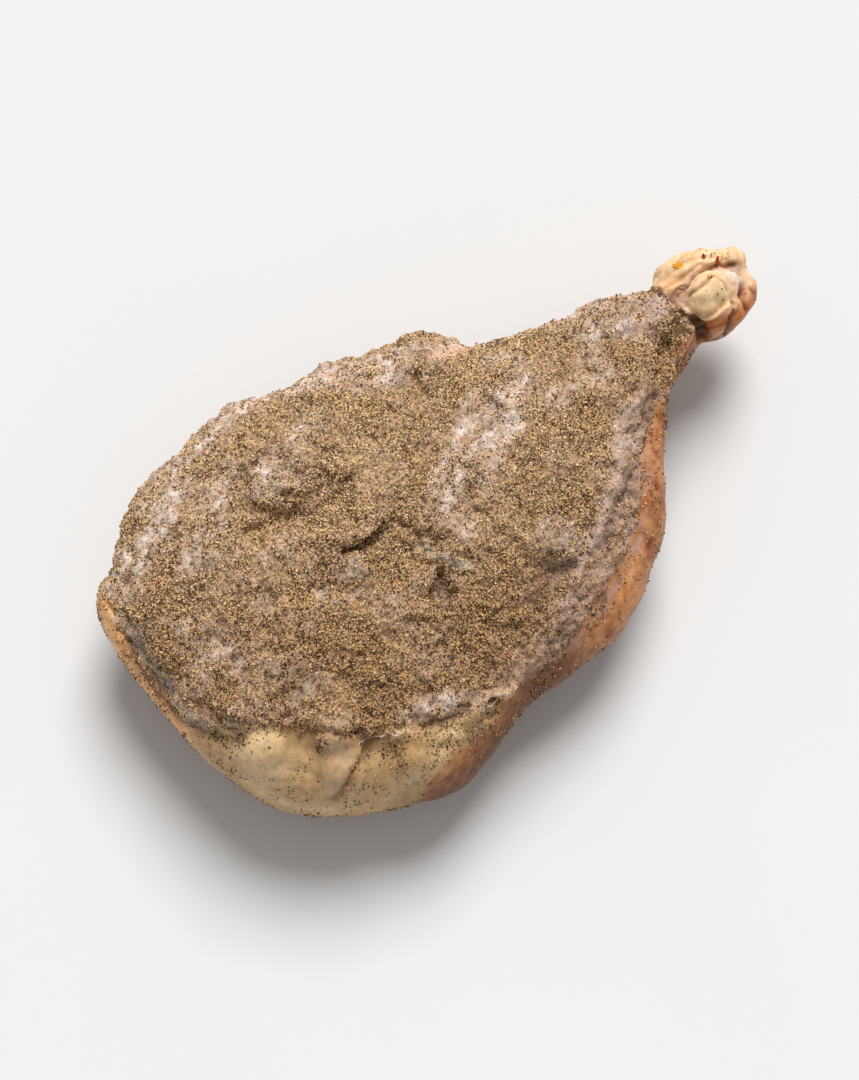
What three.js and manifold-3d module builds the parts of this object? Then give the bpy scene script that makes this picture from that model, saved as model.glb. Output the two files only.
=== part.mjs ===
// A whole dry-cured ham, bone in, lying on its rind with the cut face up.
// Millimetres. +X runs along the leg to the hock, +Y across it, +Z is up and out of the cut face.
// The leg is lofted from stations along X. Its face then gets the swells and furrows between
// the muscles, and the hock, the folds of skin and the open seams are joined on or cut in.
import * as THREE from 'three';
import { mergeVertices } from 'three/addons/utils/BufferGeometryUtils.js';
import Module from 'manifold-3d';

const wasm = await Module();
wasm.setup();

// Driving dimensions of the leg. right and left are the edges of the outline seen from above,
// rimRight and rimLeft the heights where it is widest, crest the cut face and sole the rind below.
const STATIONS = [
  { x: -254, right: -82, left: 124, rimRight: 57, rimLeft: 63, crest: 100, sole: 14 },
  { x: -240, right: -93, left: 116, rimRight: 56, rimLeft: 63, crest: 106, sole: 10 },
  { x: -225, right: -101, left: 111, rimRight: 54, rimLeft: 64, crest: 110, sole: 7 },
  { x: -205, right: -116, left: 122, rimRight: 52, rimLeft: 65, crest: 114, sole: 4 },
  { x: -185, right: -128, left: 136, rimRight: 50, rimLeft: 66, crest: 118, sole: 2 },
  { x: -165, right: -139, left: 141.5, rimRight: 49, rimLeft: 67, crest: 121, sole: 0.5 },
  { x: -145, right: -149.5, left: 141.5, rimRight: 49, rimLeft: 67, crest: 123, sole: 0 },
  { x: -125, right: -150, left: 142, rimRight: 49, rimLeft: 67, crest: 125, sole: 0 },
  { x: -105, right: -148, left: 145, rimRight: 49, rimLeft: 67, crest: 126, sole: 0 },
  { x: -85, right: -143.5, left: 144, rimRight: 50, rimLeft: 67, crest: 126.5, sole: 0 },
  { x: -65, right: -138, left: 136.5, rimRight: 51, rimLeft: 66, crest: 126.5, sole: 0 },
  { x: -25, right: -141, left: 127, rimRight: 52, rimLeft: 65, crest: 125.5, sole: 0 },
  { x: 15, right: -141, left: 111.5, rimRight: 54, rimLeft: 65, crest: 122, sole: 2 },
  { x: 35, right: -134, left: 104.5, rimRight: 55, rimLeft: 64, crest: 119, sole: 5 },
  { x: 50, right: -127, left: 93.5, rimRight: 56, rimLeft: 64, crest: 116.5, sole: 8 },
  { x: 62, right: -120, left: 75.5, rimRight: 58, rimLeft: 64, crest: 114, sole: 11 },
  { x: 75, right: -114, left: 66, rimRight: 59, rimLeft: 64, crest: 111.5, sole: 14.5 },
  { x: 95, right: -94.5, left: 58, rimRight: 60, rimLeft: 63, crest: 107, sole: 20 },
  { x: 115, right: -70.5, left: 51, rimRight: 62, rimLeft: 63, crest: 102, sole: 25.5 },
  { x: 135, right: -50, left: 45.5, rimRight: 62, rimLeft: 63, crest: 98, sole: 30.5 },
  { x: 150, right: -35, left: 42, rimRight: 62, rimLeft: 63, crest: 95, sole: 34 },
  { x: 172, right: -28.5, left: 30.5, rimRight: 62, rimLeft: 63, crest: 91.5, sole: 37 },
  { x: 186, right: -24, left: 24, rimRight: 63, rimLeft: 63, crest: 89, sole: 38.5 },
  { x: 200, right: -22, left: 22, rimRight: 64, rimLeft: 64, crest: 87, sole: 39.5 },
];
const BUTT_X = -254;
const NECK_X = 196;
const BUTT_ROUNDING = 42;       // length over which the butt end closes
const SOLE_ROUNDING = 92;       // length over which the rind curves up under the butt
const BUTT_POWER = 2.6;
const FACE_POWER_RIGHT = 2.35;  // the skin side falls away gently
const FACE_POWER_LEFT = 3.0;    // the far side of the face stays full to its edge
const SOLE_POWER = 2.1;
const SOLE_END_POWER = 2;
const SOLE_CLOSING = 0.5;       // how early the rind rises where the butt end closes
const SOLE_FLAT = 2.6;          // the ham's weight presses this much of its belly flat

// Relief and waves fade out towards the rim, and waves fade out where the rind is near the floor.
const FADE_GAIN = 1.6;
const FADE_POWER = 2.4;
const WAVES_FROM_Z = 3;
const WAVES_FULL_Z = 30;

// How finely the loft is cut, in millimetres along the surface.
const STEP_ALONG = 6.9;
const TOP_SEGMENTS = 43;
const SOLE_SEGMENTS = 13;
const BUTT_RISE = 60;           // how far the butt end stands up between its rim and its crest
const LOFT_SAMPLES = 900;
const LOFT_CROWDING = 1.5;      // samples are closer together towards the butt
const SHARE_SAMPLES = 240;
const SPINDLE_STEP = 7;
const SPINDLE_SIDES = 6;
const SPINDLE_LEAST_RINGS = 5;
const SPINDLE_TAPER = 0.6;      // lower keeps an open seam wide until near its ends
const NECK_CAP = 3;
const WELD = 1e-3;

// Unevenness of the whole surface: wave length and height.
const WAVES = [
  { length: 92, height: 1.1, phase: 0.4 },
  { length: 47, height: 0.8, phase: 2.1 },
  { length: 27, height: 0.5, phase: 4.4 },
];
// How the waves run: their pitch across and up, how far both bend them, and the phase across.
const WAVE_RUN = {
  across: 0.9, phase: 0.7, bend: 1.3, bendAcross: 0.6, rise: 0.8, riseUp: 0.7, riseAlong: 0.5,
};

// Broad rises and hollows of the cut face: middle, half sizes, turn in degrees and height.
const SWELLS = [
  { name: 'calf muscle', at: [74, -14], size: [66, 44], turn: 28, height: 9 },
  { name: 'upper butt muscle', at: [-75, 82], size: [78, 34], turn: -18, height: 5 },
  { name: 'middle muscle', at: [-68, 27], size: [36, 15], turn: 8, height: 8 },
  { name: 'lower butt muscle', at: [-170, -12], size: [48, 60], turn: 10, height: 5 },
  { name: 'aitch muscle', at: [-122, -68], size: [38, 22], turn: 30, height: 5 },
  { name: 'hip hollow', at: [-64, -22], size: [24, 16], turn: 20, height: -8 },
  { name: 'hip pit', at: [-66, -48], size: [16, 12], turn: -30, height: -9 },
  { name: 'knob in the pit', at: [-73, -40], size: [6, 6], turn: 0, height: 8 },
  { name: 'stifle hollow', at: [-10, -90], size: [20, 12], turn: 25, height: -8 },
  { name: 'near fat lobe', at: [-224, -54], size: [13, 10], turn: 40, height: 8 },
  { name: 'middle fat lobe', at: [-188, -98], size: [24, 13], turn: 62, height: 9 },
  { name: 'far fat lobe', at: [-142, -118], size: [18, 9], turn: -30, height: 6 },
  { name: 'hock hollow', at: [160, -16], size: [12, 6], turn: 40, height: -7 },
  { name: 'shank swell', at: [120, 34], size: [40, 10], turn: -16, height: 6 },
  { name: 'edge hollow', at: [52, 70], size: [13, 10], turn: 0, height: -10 },
];

// Furrows of the cut face, and ridges where the depth is below 0, each along a short route.
const FURROWS = [
  { name: 'seam by the calf', route: [[51, 58], [34, 53], [18, 44], [0, 33], [-19, 18], [-40, 3],
    [-58, -14]], width: 8, depth: 9 },
  { name: 'upper seam', route: [[-136, 54], [-118, 56], [-102, 51], [-86, 45], [-70, 41]],
    width: 8, depth: 7 },
  { name: 'side seam', route: [[-134, 80], [-122, 66], [-110, 55]], width: 8, depth: 5 },
  { name: 'lip of the hip seam', route: [[-106, 21], [-94, 14], [-80, 9], [-66, 11]], width: 7, depth: -4 },
  { name: 'arc crest', route: [[-108, 10], [-98, -4], [-95, -18], [-99, -30]], width: 6, depth: -4 },
  { name: 'hollow under the arc', route: [[-128, 3], [-113, -10]], width: 10, depth: 5 },
  { name: 'bone rim', route: [[-46, 2], [-40, -12], [-33, -26], [-28, -38]], width: 7, depth: -4 },
  { name: 'rim of the pit', route: [[-58, -30], [-50, -40], [-50, -54], [-60, -64]], width: 6, depth: -4 },
  { name: 'ridge below the pit', route: [[-96, -34], [-92, -46], [-84, -57], [-70, -65]],
    width: 7, depth: -5 },
  { name: 'ledge over the fat', route: [[-251, -10], [-231, -36], [-200, -66], [-183, -88], [-159, -105],
    [-135, -121], [-106, -131]], width: 7, depth: 6 },
  { name: 'ledge over the skin', route: [[-83, -134], [-56, -131], [-31, -133], [-4, -132], [24, -122],
    [47, -113], [76, -86], [101, -62], [127, -42]], width: 6, depth: 5 },
  { name: 'corner of the skin', route: [[-92, -131], [-120, -128], [-146, -128]], width: 6, depth: -3 },
  { name: 'roll over the fat', route: [[-240, -8], [-222, -27], [-192, -56], [-175, -75], [-152, -92],
    [-128, -108], [-101, -117]], width: 9, depth: -3.5 },
  { name: 'butt seam', route: [[-236, 76], [-241, 52], [-243, 28], [-241, 4], [-230, -14]],
    width: 6, depth: 5 },
  { name: 'calf groove', route: [[96, 42], [70, 27], [50, 10]], width: 6, depth: 4 },
  { name: 'lower calf groove', route: [[118, 22], [90, 8], [66, -10]], width: 6, depth: 3 },
  { name: 'flank groove', route: [[-150, 20], [-172, 2], [-184, -20]], width: 9, depth: 5 },
  { name: 'rump groove', route: [[-60, 104], [-90, 92], [-122, 92]], width: 7, depth: 5 },
  { name: 'rump crest', route: [[-20, 96], [-50, 84], [-84, 74]], width: 7, depth: -4 },
  { name: 'edge lip', route: [[36, 94], [28, 86], [18, 78]], width: 7, depth: -6 },
  { name: 'flap', route: [[-222, -14], [-220, -24], [-221, -33]], width: 5, depth: -7 },
  { name: 'near tag', route: [[-80, -121], [-70, -127]], width: 6, depth: -8 },
  { name: 'far tag', route: [[-60, -120], [-48, -124]], width: 5, depth: -5 },
  { name: 'fat tag', route: [[-184, -77], [-175, -82]], width: 6, depth: -5 },
  { name: 'skin edge at the hock', route: [[187, -11], [176, -20], [160, -28], [143, -36], [128, -46]],
    width: 5, depth: -5 },
];

// Open seams cut into the face: route, half width, depth, and how far the floor leans under its lip.
const SLITS = [
  { name: 'hip seam', route: [[-106, 15], [-96, 7], [-84, 1], [-71, 1], [-60, 5]], half: 3.2, depth: 10,
    lean: [4, 7] },
  { name: 'hip pit', route: [[-72, -53], [-64, -52], [-57, -46]], half: 4, depth: 9, lean: [3, 2] },
  { name: 'edge seam', route: [[38, 84], [32, 79], [25, 73], [18, 68]], half: 2.6, depth: 7, lean: [-3, 2] },
  { name: 'upper skin hole', route: [[-87, -114], [-83, -117], [-79, -119]], half: 3, depth: 6,
    lean: [0, 1] },
  { name: 'lower skin hole', route: [[-98, -127], [-93, -130], [-87, -132]], half: 3.6, depth: 7,
    lean: [0, 2] },
  { name: 'flap hole', route: [[-217, -22], [-212, -27], [-206, -31]], half: 3.4, depth: 6, lean: [1, 2] },
  { name: 'hock hole', route: [[170, -6], [164, -11], [159, -17], [155, -22]], half: 3, depth: 8,
    lean: [0, 1] },
];

// The hock: lobes of skin, fat and sinew gathered over the end of the bone, all seen from its middle.
const HOCK_MIDDLE = [215, 4, 66];
const HOCK_DETAIL = 12;
const LOBES = [
  { name: 'core', at: [214, 3, 65], size: [27, 23, 31], turn: 0 },
  { name: 'upper roll', at: [212, 17, 76], size: [26, 13, 20], turn: -24 },
  { name: 'upper tip', at: [237, 6, 78], size: [12, 9, 12], turn: -30 },
  { name: 'front lobe', at: [208, -2, 87], size: [19, 14, 17], turn: 16 },
  { name: 'front knuckle', at: [225, -5, 84], size: [11, 11, 13], turn: 0 },
  { name: 'skin wrap', at: [212, -15, 66], size: [26, 16, 27], turn: 4 },
  { name: 'end wrap', at: [231, -11, 64], size: [14, 17, 23], turn: -12 },
  { name: 'sinew pad', at: [192, 11, 80], size: [15, 14, 13], turn: -10 },
];
const LOBE_BLEND = 40;          // higher keeps the valleys between the lobes sharper
const HOCK_WAVE = { length: 19, height: 0.8, across: 1.2, up: 0.7 };
const HOCK_CREASES = [
  { name: 'under the front lobe', route: [[184, -4, 92], [193, -13, 92], [205, -19, 90], [218, -19, 86],
    [229, -14, 82]], width: 2.4, depth: 5 },
  { name: 'behind the front lobe', route: [[186, 5, 97], [196, 13, 99], [207, 14, 100], [218, 9, 100],
    [230, 4, 94]], width: 2.6, depth: 6 },
  { name: 'end hollow', route: [[227, 1, 94], [233, -5, 90], [236, -12, 84]], width: 3.2, depth: 8 },
  { name: 'fold of the end', route: [[241, -17, 58], [237, -21, 70], [231, -20, 82]], width: 2.4, depth: 4 },
  { name: 'cleft of the front lobe', route: [[198, -4, 100], [209, -1, 103], [218, 2, 100]],
    width: 2.2, depth: 2.5 },
  { name: 'cleft of the upper roll', route: [[192, 18, 94], [204, 24, 95], [218, 21, 93]],
    width: 2.2, depth: 2.5 },
  { name: 'skin edge under the front lobe', route: [[186, -13, 88], [198, -23, 84], [212, -28, 78],
    [226, -26, 72]], width: 2.4, depth: -3 },
];

// Height of a smooth curve through the stations at x.
function stationValue(key, x) {
  const last = STATIONS.length - 1;
  let i = 0;
  while (i < last - 1 && x > STATIONS[i + 1].x) i += 1;
  const [a, b] = [STATIONS[i], STATIONS[i + 1]];
  const before = STATIONS[Math.max(i - 1, 0)];
  const after = STATIONS[Math.min(i + 2, last)];
  const span = b.x - a.x;
  const slopeA = (b[key] - before[key]) / (b.x - before.x) * span;
  const slopeB = (after[key] - a[key]) / (after.x - a.x) * span;
  const t = THREE.MathUtils.clamp((x - a.x) / span, 0, 1);
  const [t2, t3] = [t * t, t * t * t];
  return (2 * t3 - 3 * t2 + 1) * a[key] + (t3 - 2 * t2 + t) * slopeA
    + (3 * t2 - 2 * t3) * b[key] + (t3 - t2) * slopeB;
}

// 0 at an edge and 1 at the middle of a rounded form: share runs from 0 (middle) to 1 (edge).
function roundedFall(share, power) {
  return Math.max(0, 1 - Math.min(1, Math.abs(share)) ** power) ** (1 / power);
}

// 0 at the end of the butt, rising to 1 over the length given.
function buttFall(x, length, power) {
  return roundedFall(Math.max(0, 1 - (x - BUTT_X) / length), power);
}

// Distance from a point to a route, in as many dimensions as the route has.
function distanceToRoute(point, route) {
  let nearest = Infinity;
  for (let i = 0; i < route.length - 1; i += 1) {
    const step = route[i + 1].map((value, axis) => value - route[i][axis]);
    const offset = step.map((_, axis) => point[axis] - route[i][axis]);
    const lengthSquared = step.reduce((sum, value) => sum + value * value, 0);
    const along = offset.reduce((sum, value, axis) => sum + value * step[axis], 0) / lengthSquared;
    const t = THREE.MathUtils.clamp(along, 0, 1);
    nearest = Math.min(nearest, Math.hypot(...offset.map((value, axis) => value - t * step[axis])));
  }
  return nearest;
}

// Depth of a set of furrows at a point.
function furrowDepth(point, furrows) {
  let depth = 0;
  for (const furrow of furrows) {
    const share = distanceToRoute(point, furrow.route) / furrow.width;
    depth += furrow.depth * Math.exp(-share * share);
  }
  return depth;
}

function relief(x, y) {
  let height = 0;
  for (const swell of SWELLS) {
    const angle = THREE.MathUtils.degToRad(swell.turn);
    const [dx, dy] = [x - swell.at[0], y - swell.at[1]];
    const along = (dx * Math.cos(angle) + dy * Math.sin(angle)) / swell.size[0];
    const across = (dy * Math.cos(angle) - dx * Math.sin(angle)) / swell.size[1];
    height += swell.height * Math.exp(-along * along - across * across);
  }
  return height - furrowDepth([x, y], FURROWS);
}

function waves(x, y, z) {
  let height = 0;
  for (const wave of WAVES) {
    const k = 2 * Math.PI / wave.length;
    const bend = WAVE_RUN.bend * Math.sin(k * WAVE_RUN.bendAcross * y);
    const rise = WAVE_RUN.rise * Math.sin(k * WAVE_RUN.riseUp * z + WAVE_RUN.riseAlong * k * x);
    height += wave.height * Math.sin(k * x + wave.phase + bend)
      * Math.cos(k * WAVE_RUN.across * y + WAVE_RUN.phase * wave.phase + rise);
  }
  return height;
}

// One station of the leg: its edges and heights, closed in towards the butt.
function sectionAt(x) {
  const right = stationValue('right', x);
  const left = stationValue('left', x);
  const narrow = buttFall(x, BUTT_ROUNDING, BUTT_POWER);
  const under = buttFall(x, SOLE_ROUNDING, SOLE_END_POWER);
  const middle = (right + left) / 2;
  const rimRight = stationValue('rimRight', x);
  const rimLeft = stationValue('rimLeft', x);
  const rim = (rimRight + rimLeft) / 2;
  return {
    middle,
    half: (left - right) / 2 * narrow,
    rimRight: THREE.MathUtils.lerp(rim, rimRight, narrow),
    rimLeft: THREE.MathUtils.lerp(rim, rimLeft, narrow),
    crest: THREE.MathUtils.lerp(rim, stationValue('crest', x), narrow),
    sole: THREE.MathUtils.lerp(rim, stationValue('sole', x), under * narrow ** SOLE_CLOSING),
  };
}

// Height of the cut face (top) or the rind (sole) at a share of the width, -1 right to +1 left.
function surfaceHeight(section, share, top) {
  const rim = THREE.MathUtils.lerp(section.rimRight, section.rimLeft, (share + 1) / 2);
  if (top) {
    const power = share < 0 ? FACE_POWER_RIGHT : FACE_POWER_LEFT;
    return rim + (section.crest - rim) * roundedFall(share, power);
  }
  return rim - (rim - section.sole) * roundedFall(share, SOLE_POWER);
}

// Height of the cut face above the floor with its relief, which fades out at the rim.
function faceHeight(x, y) {
  const section = sectionAt(x);
  const share = THREE.MathUtils.clamp((y - section.middle) / section.half, -1, 1);
  return surfaceHeight(section, share, true) + relief(x, y) * reliefFade(share) + waves(x, y, 0);
}

function reliefFade(share) {
  return Math.min(1, FADE_GAIN * roundedFall(share, FADE_POWER));
}

// Shares of the width that cut one side of a section into lengths as even as possible.
function evenShares(section, top, segments) {
  const lengths = [0];
  let before = null;
  for (let i = 0; i <= SHARE_SAMPLES; i += 1) {
    const share = -Math.cos(Math.PI * i / SHARE_SAMPLES);
    const point = [share * section.half, surfaceHeight(section, share, top)];
    if (before) lengths.push(lengths[i - 1] + Math.hypot(point[0] - before[0], point[1] - before[1]));
    before = point;
  }
  const shares = [];
  let i = 0;
  for (let n = 1; n < segments; n += 1) {
    const wanted = lengths[SHARE_SAMPLES] * n / segments;
    while (lengths[i + 1] < wanted) i += 1;
    const t = (wanted - lengths[i]) / (lengths[i + 1] - lengths[i]);
    shares.push(-Math.cos(Math.PI * (i + t) / SHARE_SAMPLES));
  }
  return shares;
}

// Places of the stations, closer together where the butt end closes.
function loftPlaces() {
  const places = [];
  let walked = 0;
  let [xBefore, riseBefore] = [BUTT_X, 0];
  for (let i = 1; i <= LOFT_SAMPLES; i += 1) {
    const x = BUTT_X + (NECK_X - BUTT_X) * (i / LOFT_SAMPLES) ** LOFT_CROWDING;
    const rise = BUTT_RISE * buttFall(x, BUTT_ROUNDING, BUTT_POWER);
    walked += Math.hypot(x - xBefore, rise - riseBefore);
    if (walked >= STEP_ALONG) {
      places.push(x);
      walked -= STEP_ALONG;
    }
    [xBefore, riseBefore] = [x, rise];
  }
  return places;
}

function legGeometry() {
  const positions = [];
  const index = [];
  const around = TOP_SEGMENTS + SOLE_SEGMENTS;
  const rim = sectionAt(BUTT_X);
  positions.push(BUTT_X, rim.middle, rim.rimRight);
  const places = loftPlaces();
  for (const x of places) {
    const section = sectionAt(x);
    const addPoint = (share, top) => {
      const y = section.middle + share * section.half;
      let z = surfaceHeight(section, share, top);
      const bump = waves(x, y, z);
      if (top) {
        z += (relief(x, y) + bump) * reliefFade(share);
      } else {
        const firm = THREE.MathUtils.smoothstep(z, WAVES_FROM_Z, WAVES_FULL_Z);
        z = Math.max(0, z - SOLE_FLAT * (1 - firm)) + bump * firm * reliefFade(share);
      }
      const edgeWave = bump * (1 - reliefFade(share)) * Math.sign(share);
      positions.push(x, y + edgeWave, z);
    };
    addPoint(-1, true);
    for (const share of evenShares(section, true, TOP_SEGMENTS)) addPoint(share, true);
    addPoint(1, true);
    for (const share of evenShares(section, false, SOLE_SEGMENTS).reverse()) addPoint(share, false);
  }
  for (let j = 0; j < around; j += 1) {
    index.push(0, 1 + j, 1 + (j + 1) % around);
    for (let i = 0; i < places.length - 1; i += 1) {
      const [a, b] = [1 + i * around + j, 1 + i * around + (j + 1) % around];
      index.push(a, b + around, b, a, a + around, b + around);
    }
  }
  const lastRing = 1 + (places.length - 1) * around;
  const end = sectionAt(NECK_X);
  positions.push(NECK_X + NECK_CAP, end.middle, (end.crest + end.sole) / 2);
  const cap = positions.length / 3 - 1;
  for (let j = 0; j < around; j += 1) index.push(lastRing + (j + 1) % around, lastRing + j, cap);
  const geometry = new THREE.BufferGeometry();
  geometry.setAttribute('position', new THREE.Float32BufferAttribute(positions, 3));
  geometry.setIndex(index);
  return geometry;
}

// A spindle along a route: half sizes taper to a point at both ends. down is its section's long way.
function spindle(points, halfWide, halfHigh, down) {
  const curve = new THREE.CatmullRomCurve3(points.map((p) => new THREE.Vector3(...p)));
  const rings = Math.max(SPINDLE_LEAST_RINGS, Math.round(curve.getLength() / SPINDLE_STEP));
  const sides = SPINDLE_SIDES;
  const long = new THREE.Vector3(...down).normalize();
  const positions = [];
  const index = [];
  positions.push(...curve.getPoint(0).toArray());
  for (let i = 1; i < rings; i += 1) {
    const t = i / rings;
    const centre = curve.getPointAt(t);
    const wide = new THREE.Vector3().crossVectors(curve.getTangentAt(t), long).normalize();
    const taper = Math.sin(Math.PI * t) ** SPINDLE_TAPER;
    for (let j = 0; j < sides; j += 1) {
      const angle = 2 * Math.PI * j / sides;
      positions.push(...centre.clone()
        .addScaledVector(wide, halfWide * taper * Math.cos(angle))
        .addScaledVector(long, halfHigh * taper * Math.sin(angle)).toArray());
    }
  }
  positions.push(...curve.getPoint(1).toArray());
  const end = positions.length / 3 - 1;
  for (let j = 0; j < sides; j += 1) {
    const next = (j + 1) % sides;
    index.push(0, 1 + j, 1 + next);
    for (let i = 0; i < rings - 2; i += 1) {
      const [a, b] = [1 + i * sides + j, 1 + i * sides + next];
      index.push(a, b + sides, b, a, a + sides, b + sides);
    }
    index.push(end, 1 + (rings - 2) * sides + next, 1 + (rings - 2) * sides + j);
  }
  const geometry = new THREE.BufferGeometry();
  geometry.setAttribute('position', new THREE.Float32BufferAttribute(positions, 3));
  geometry.setIndex(index);
  return geometry;
}

// How far a ray from the middle of the hock runs before it leaves a lobe, or 0 if it misses it.
function reachOfLobe(direction, { at, size, turn }) {
  const angle = -THREE.MathUtils.degToRad(turn);
  const middle = new THREE.Vector3(...HOCK_MIDDLE);
  const axis = new THREE.Vector3(0, 0, 1);
  const scale = new THREE.Vector3(...size);
  const start = middle.sub(new THREE.Vector3(...at)).applyAxisAngle(axis, angle).divide(scale);
  const along = direction.clone().applyAxisAngle(axis, angle).divide(scale);
  const [a, b, c] = [along.lengthSq(), start.dot(along), start.lengthSq() - 1];
  const root = b * b - a * c;
  return root > 0 ? Math.max(0, (-b + Math.sqrt(root)) / a) : 0;
}

// The hock as one skin drawn over its lobes, creased where they meet.
function hockGeometry() {
  const geometry = new THREE.IcosahedronGeometry(1, HOCK_DETAIL);
  const position = geometry.getAttribute('position');
  const middle = new THREE.Vector3(...HOCK_MIDDLE);
  const k = 2 * Math.PI / HOCK_WAVE.length;
  for (let i = 0; i < position.count; i += 1) {
    const direction = new THREE.Vector3().fromBufferAttribute(position, i).normalize();
    const reaches = LOBES.map((lobe) => reachOfLobe(direction, lobe));
    const reach = reaches.reduce((sum, value) => sum + value ** LOBE_BLEND, 0) ** (1 / LOBE_BLEND);
    const point = middle.clone().addScaledVector(direction, reach);
    const wave = HOCK_WAVE.height * Math.sin(k * point.x)
      * Math.cos(k * (HOCK_WAVE.across * point.y + HOCK_WAVE.up * point.z));
    point.addScaledVector(direction, wave - furrowDepth(point.toArray(), HOCK_CREASES));
    position.setXYZ(i, ...point.toArray());
  }
  return geometry;
}

function toSolid(geometry) {
  const bare = geometry.clone();
  bare.deleteAttribute('normal');
  bare.deleteAttribute('uv');
  const welded = mergeVertices(bare, WELD);
  const mesh = new wasm.Mesh({
    numProp: 3,
    vertProperties: new Float32Array(welded.getAttribute('position').array),
    triVerts: new Uint32Array(welded.getIndex().array),
  });
  const solid = new wasm.Manifold(mesh);
  if (solid.volume() <= 0) throw new Error('a piece is inside out');
  return solid;
}

function toGeometry(solid) {
  const mesh = solid.getMesh();
  const geometry = new THREE.BufferGeometry();
  geometry.setAttribute('position', new THREE.BufferAttribute(new Float32Array(mesh.vertProperties), 3));
  geometry.setIndex(new THREE.BufferAttribute(new Uint32Array(mesh.triVerts), 1));
  return mergeVertices(geometry, WELD);
}

function hamSolid() {
  let ham = toSolid(legGeometry()).add(toSolid(hockGeometry()));
  for (const slit of SLITS) {
    const down = [slit.lean[0], slit.lean[1], -slit.depth];
    const route = slit.route.map(([x, y]) => [x, y, faceHeight(x, y)]);
    ham = ham.subtract(toSolid(spindle(route, slit.half, slit.depth, down)));
  }
  return ham;
}

// The origin is on the floor under the middle of the ham's outline.
function centred(geometry) {
  geometry.computeBoundingBox();
  const { min, max } = geometry.boundingBox;
  return geometry.translate(-(min.x + max.x) / 2, -(min.y + max.y) / 2, -min.z);
}

const peppered = new THREE.MeshStandardMaterial({ color: 0xa48c6d, roughness: 0.85, metalness: 0 });
const ham = new THREE.Mesh(centred(toGeometry(hamSolid())), peppered);
ham.name = 'ham';

const group = new THREE.Group();
group.add(ham);
export default group;
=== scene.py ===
"""A whole dry-cured ham under ground pepper, lying on its rind on a pale floor."""
import math
from itertools import product

import bmesh
import bpy
import numpy as np
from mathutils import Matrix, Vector
from mathutils.bvhtree import BVHTree

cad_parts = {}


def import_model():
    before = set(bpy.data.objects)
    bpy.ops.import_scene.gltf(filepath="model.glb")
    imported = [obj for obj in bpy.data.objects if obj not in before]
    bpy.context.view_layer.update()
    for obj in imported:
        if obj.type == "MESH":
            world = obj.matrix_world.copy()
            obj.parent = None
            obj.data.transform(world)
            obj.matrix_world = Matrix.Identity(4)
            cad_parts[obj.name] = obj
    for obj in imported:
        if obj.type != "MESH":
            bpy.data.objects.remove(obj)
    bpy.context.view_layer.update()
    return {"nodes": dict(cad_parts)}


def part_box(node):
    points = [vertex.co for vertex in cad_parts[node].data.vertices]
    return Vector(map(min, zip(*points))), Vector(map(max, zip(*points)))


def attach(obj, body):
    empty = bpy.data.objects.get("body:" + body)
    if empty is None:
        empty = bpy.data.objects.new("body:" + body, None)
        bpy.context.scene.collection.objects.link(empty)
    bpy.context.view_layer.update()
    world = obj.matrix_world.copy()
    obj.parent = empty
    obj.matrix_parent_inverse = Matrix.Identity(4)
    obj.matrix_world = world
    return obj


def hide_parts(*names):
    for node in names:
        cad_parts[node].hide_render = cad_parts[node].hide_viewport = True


MM = 0.001
SEED = 11

# The drawing frame: millimetres, +X along the leg to the hock, +Y across it, +Z up. Its butt end is
# at BUTT_X and its skin side at SKIN_SIDE_Y, which ties it to the solid wherever that lies.
BUTT_X = -254.0
SKIN_SIDE_Y = -152.2

# The photograph's camera, in millimetres and degrees.
CAMERA_TARGET = (-42.1, -9.8, 62.0)
CAMERA_DISTANCE = 2022.0
CAMERA_ELEVATION = 78.0
CAMERA_AZIMUTH = -40.0
LENS = 100.0
SENSOR = 36.0

# Outline of the cut face: the butt end, the edges to the fat and to the skin, and the far side.
FACE = [
    (-236, 92), (-241, 70), (-243, 48), (-247, 22), (-248, 0), (-243, -16),
    (-226, -33), (-206, -50), (-190, -66), (-176, -84), (-155, -100), (-131, -115), (-104, -124), (-82, -129),
    (-56, -129), (-30, -130), (-4, -125), (20, -116), (42, -107), (60, -97), (77, -86), (96, -69), (112, -56),
    (133, -41), (151, -32), (176, -22), (188, -17),
    (187, 26), (150, 62), (75, 92), (40, 125), (-60, 165), (-160, 165), (-236, 125),
]

# Outline of the fat: under the cut face, then along its border with the skin, and round the butt end.
FAT = [
    (-262, -12), (-220, 10), (-150, -60), (-92, -100), (-78, -122),
    (-84, -134), (-104, -137), (-126, -135), (-148, -137), (-164, -141), (-182, -172), (-262, -172),
]
FAT_TO_Z = 22.0                 # below this height the fat gives way to rind
HOCK_FROM = [(176, -40), (184, -20), (187, 0), (184, 20), (178, 40)]
PAINTED_SHADE_Z = (22.0, 74.0)      # heights between which painted shade darkens the rind and the fat towards the floor

# Routes of features that are both shaped and coloured.
FACE_HOLE = [(-67, 46), (-62, 46)]
CARTILAGE_BAR = [(-57, -16), (-54, -27), (-51, -36), (-47, -44), (-42, -50)]
PIT = [(-60, -42), (-66, -48), (-72, -49)]
TORN_HOLE = [(-85, -125, 99), (-81, -127, 95)]
LOBE_CREASE = [(-163, -96, 109), (-174, -99, 105), (-185, -101, 104), (-193, -104, 100), (-204, -107, 86)]
HOCK_NOTCH = [(189, -10, 90), (190, -16, 86), (190, -20, 80), (188, -24, 70)]
HOCK_CLEFT = [(216, -21, 91), (211, -25, 86), (206, -29, 78), (203, -31, 68)]
HOCK_SIDE_CLEFT = [(225, -21, 87), (223, -27, 79), (221, -31, 68)]
HOCK_LOBE_TOP = [(194, 1, 97), (202, -1, 101), (208, -1, 103), (215, 1, 101)]
HOCK_LOBE_END = [(215, 1, 101), (217, -6, 98), (216, -12, 96)]

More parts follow.
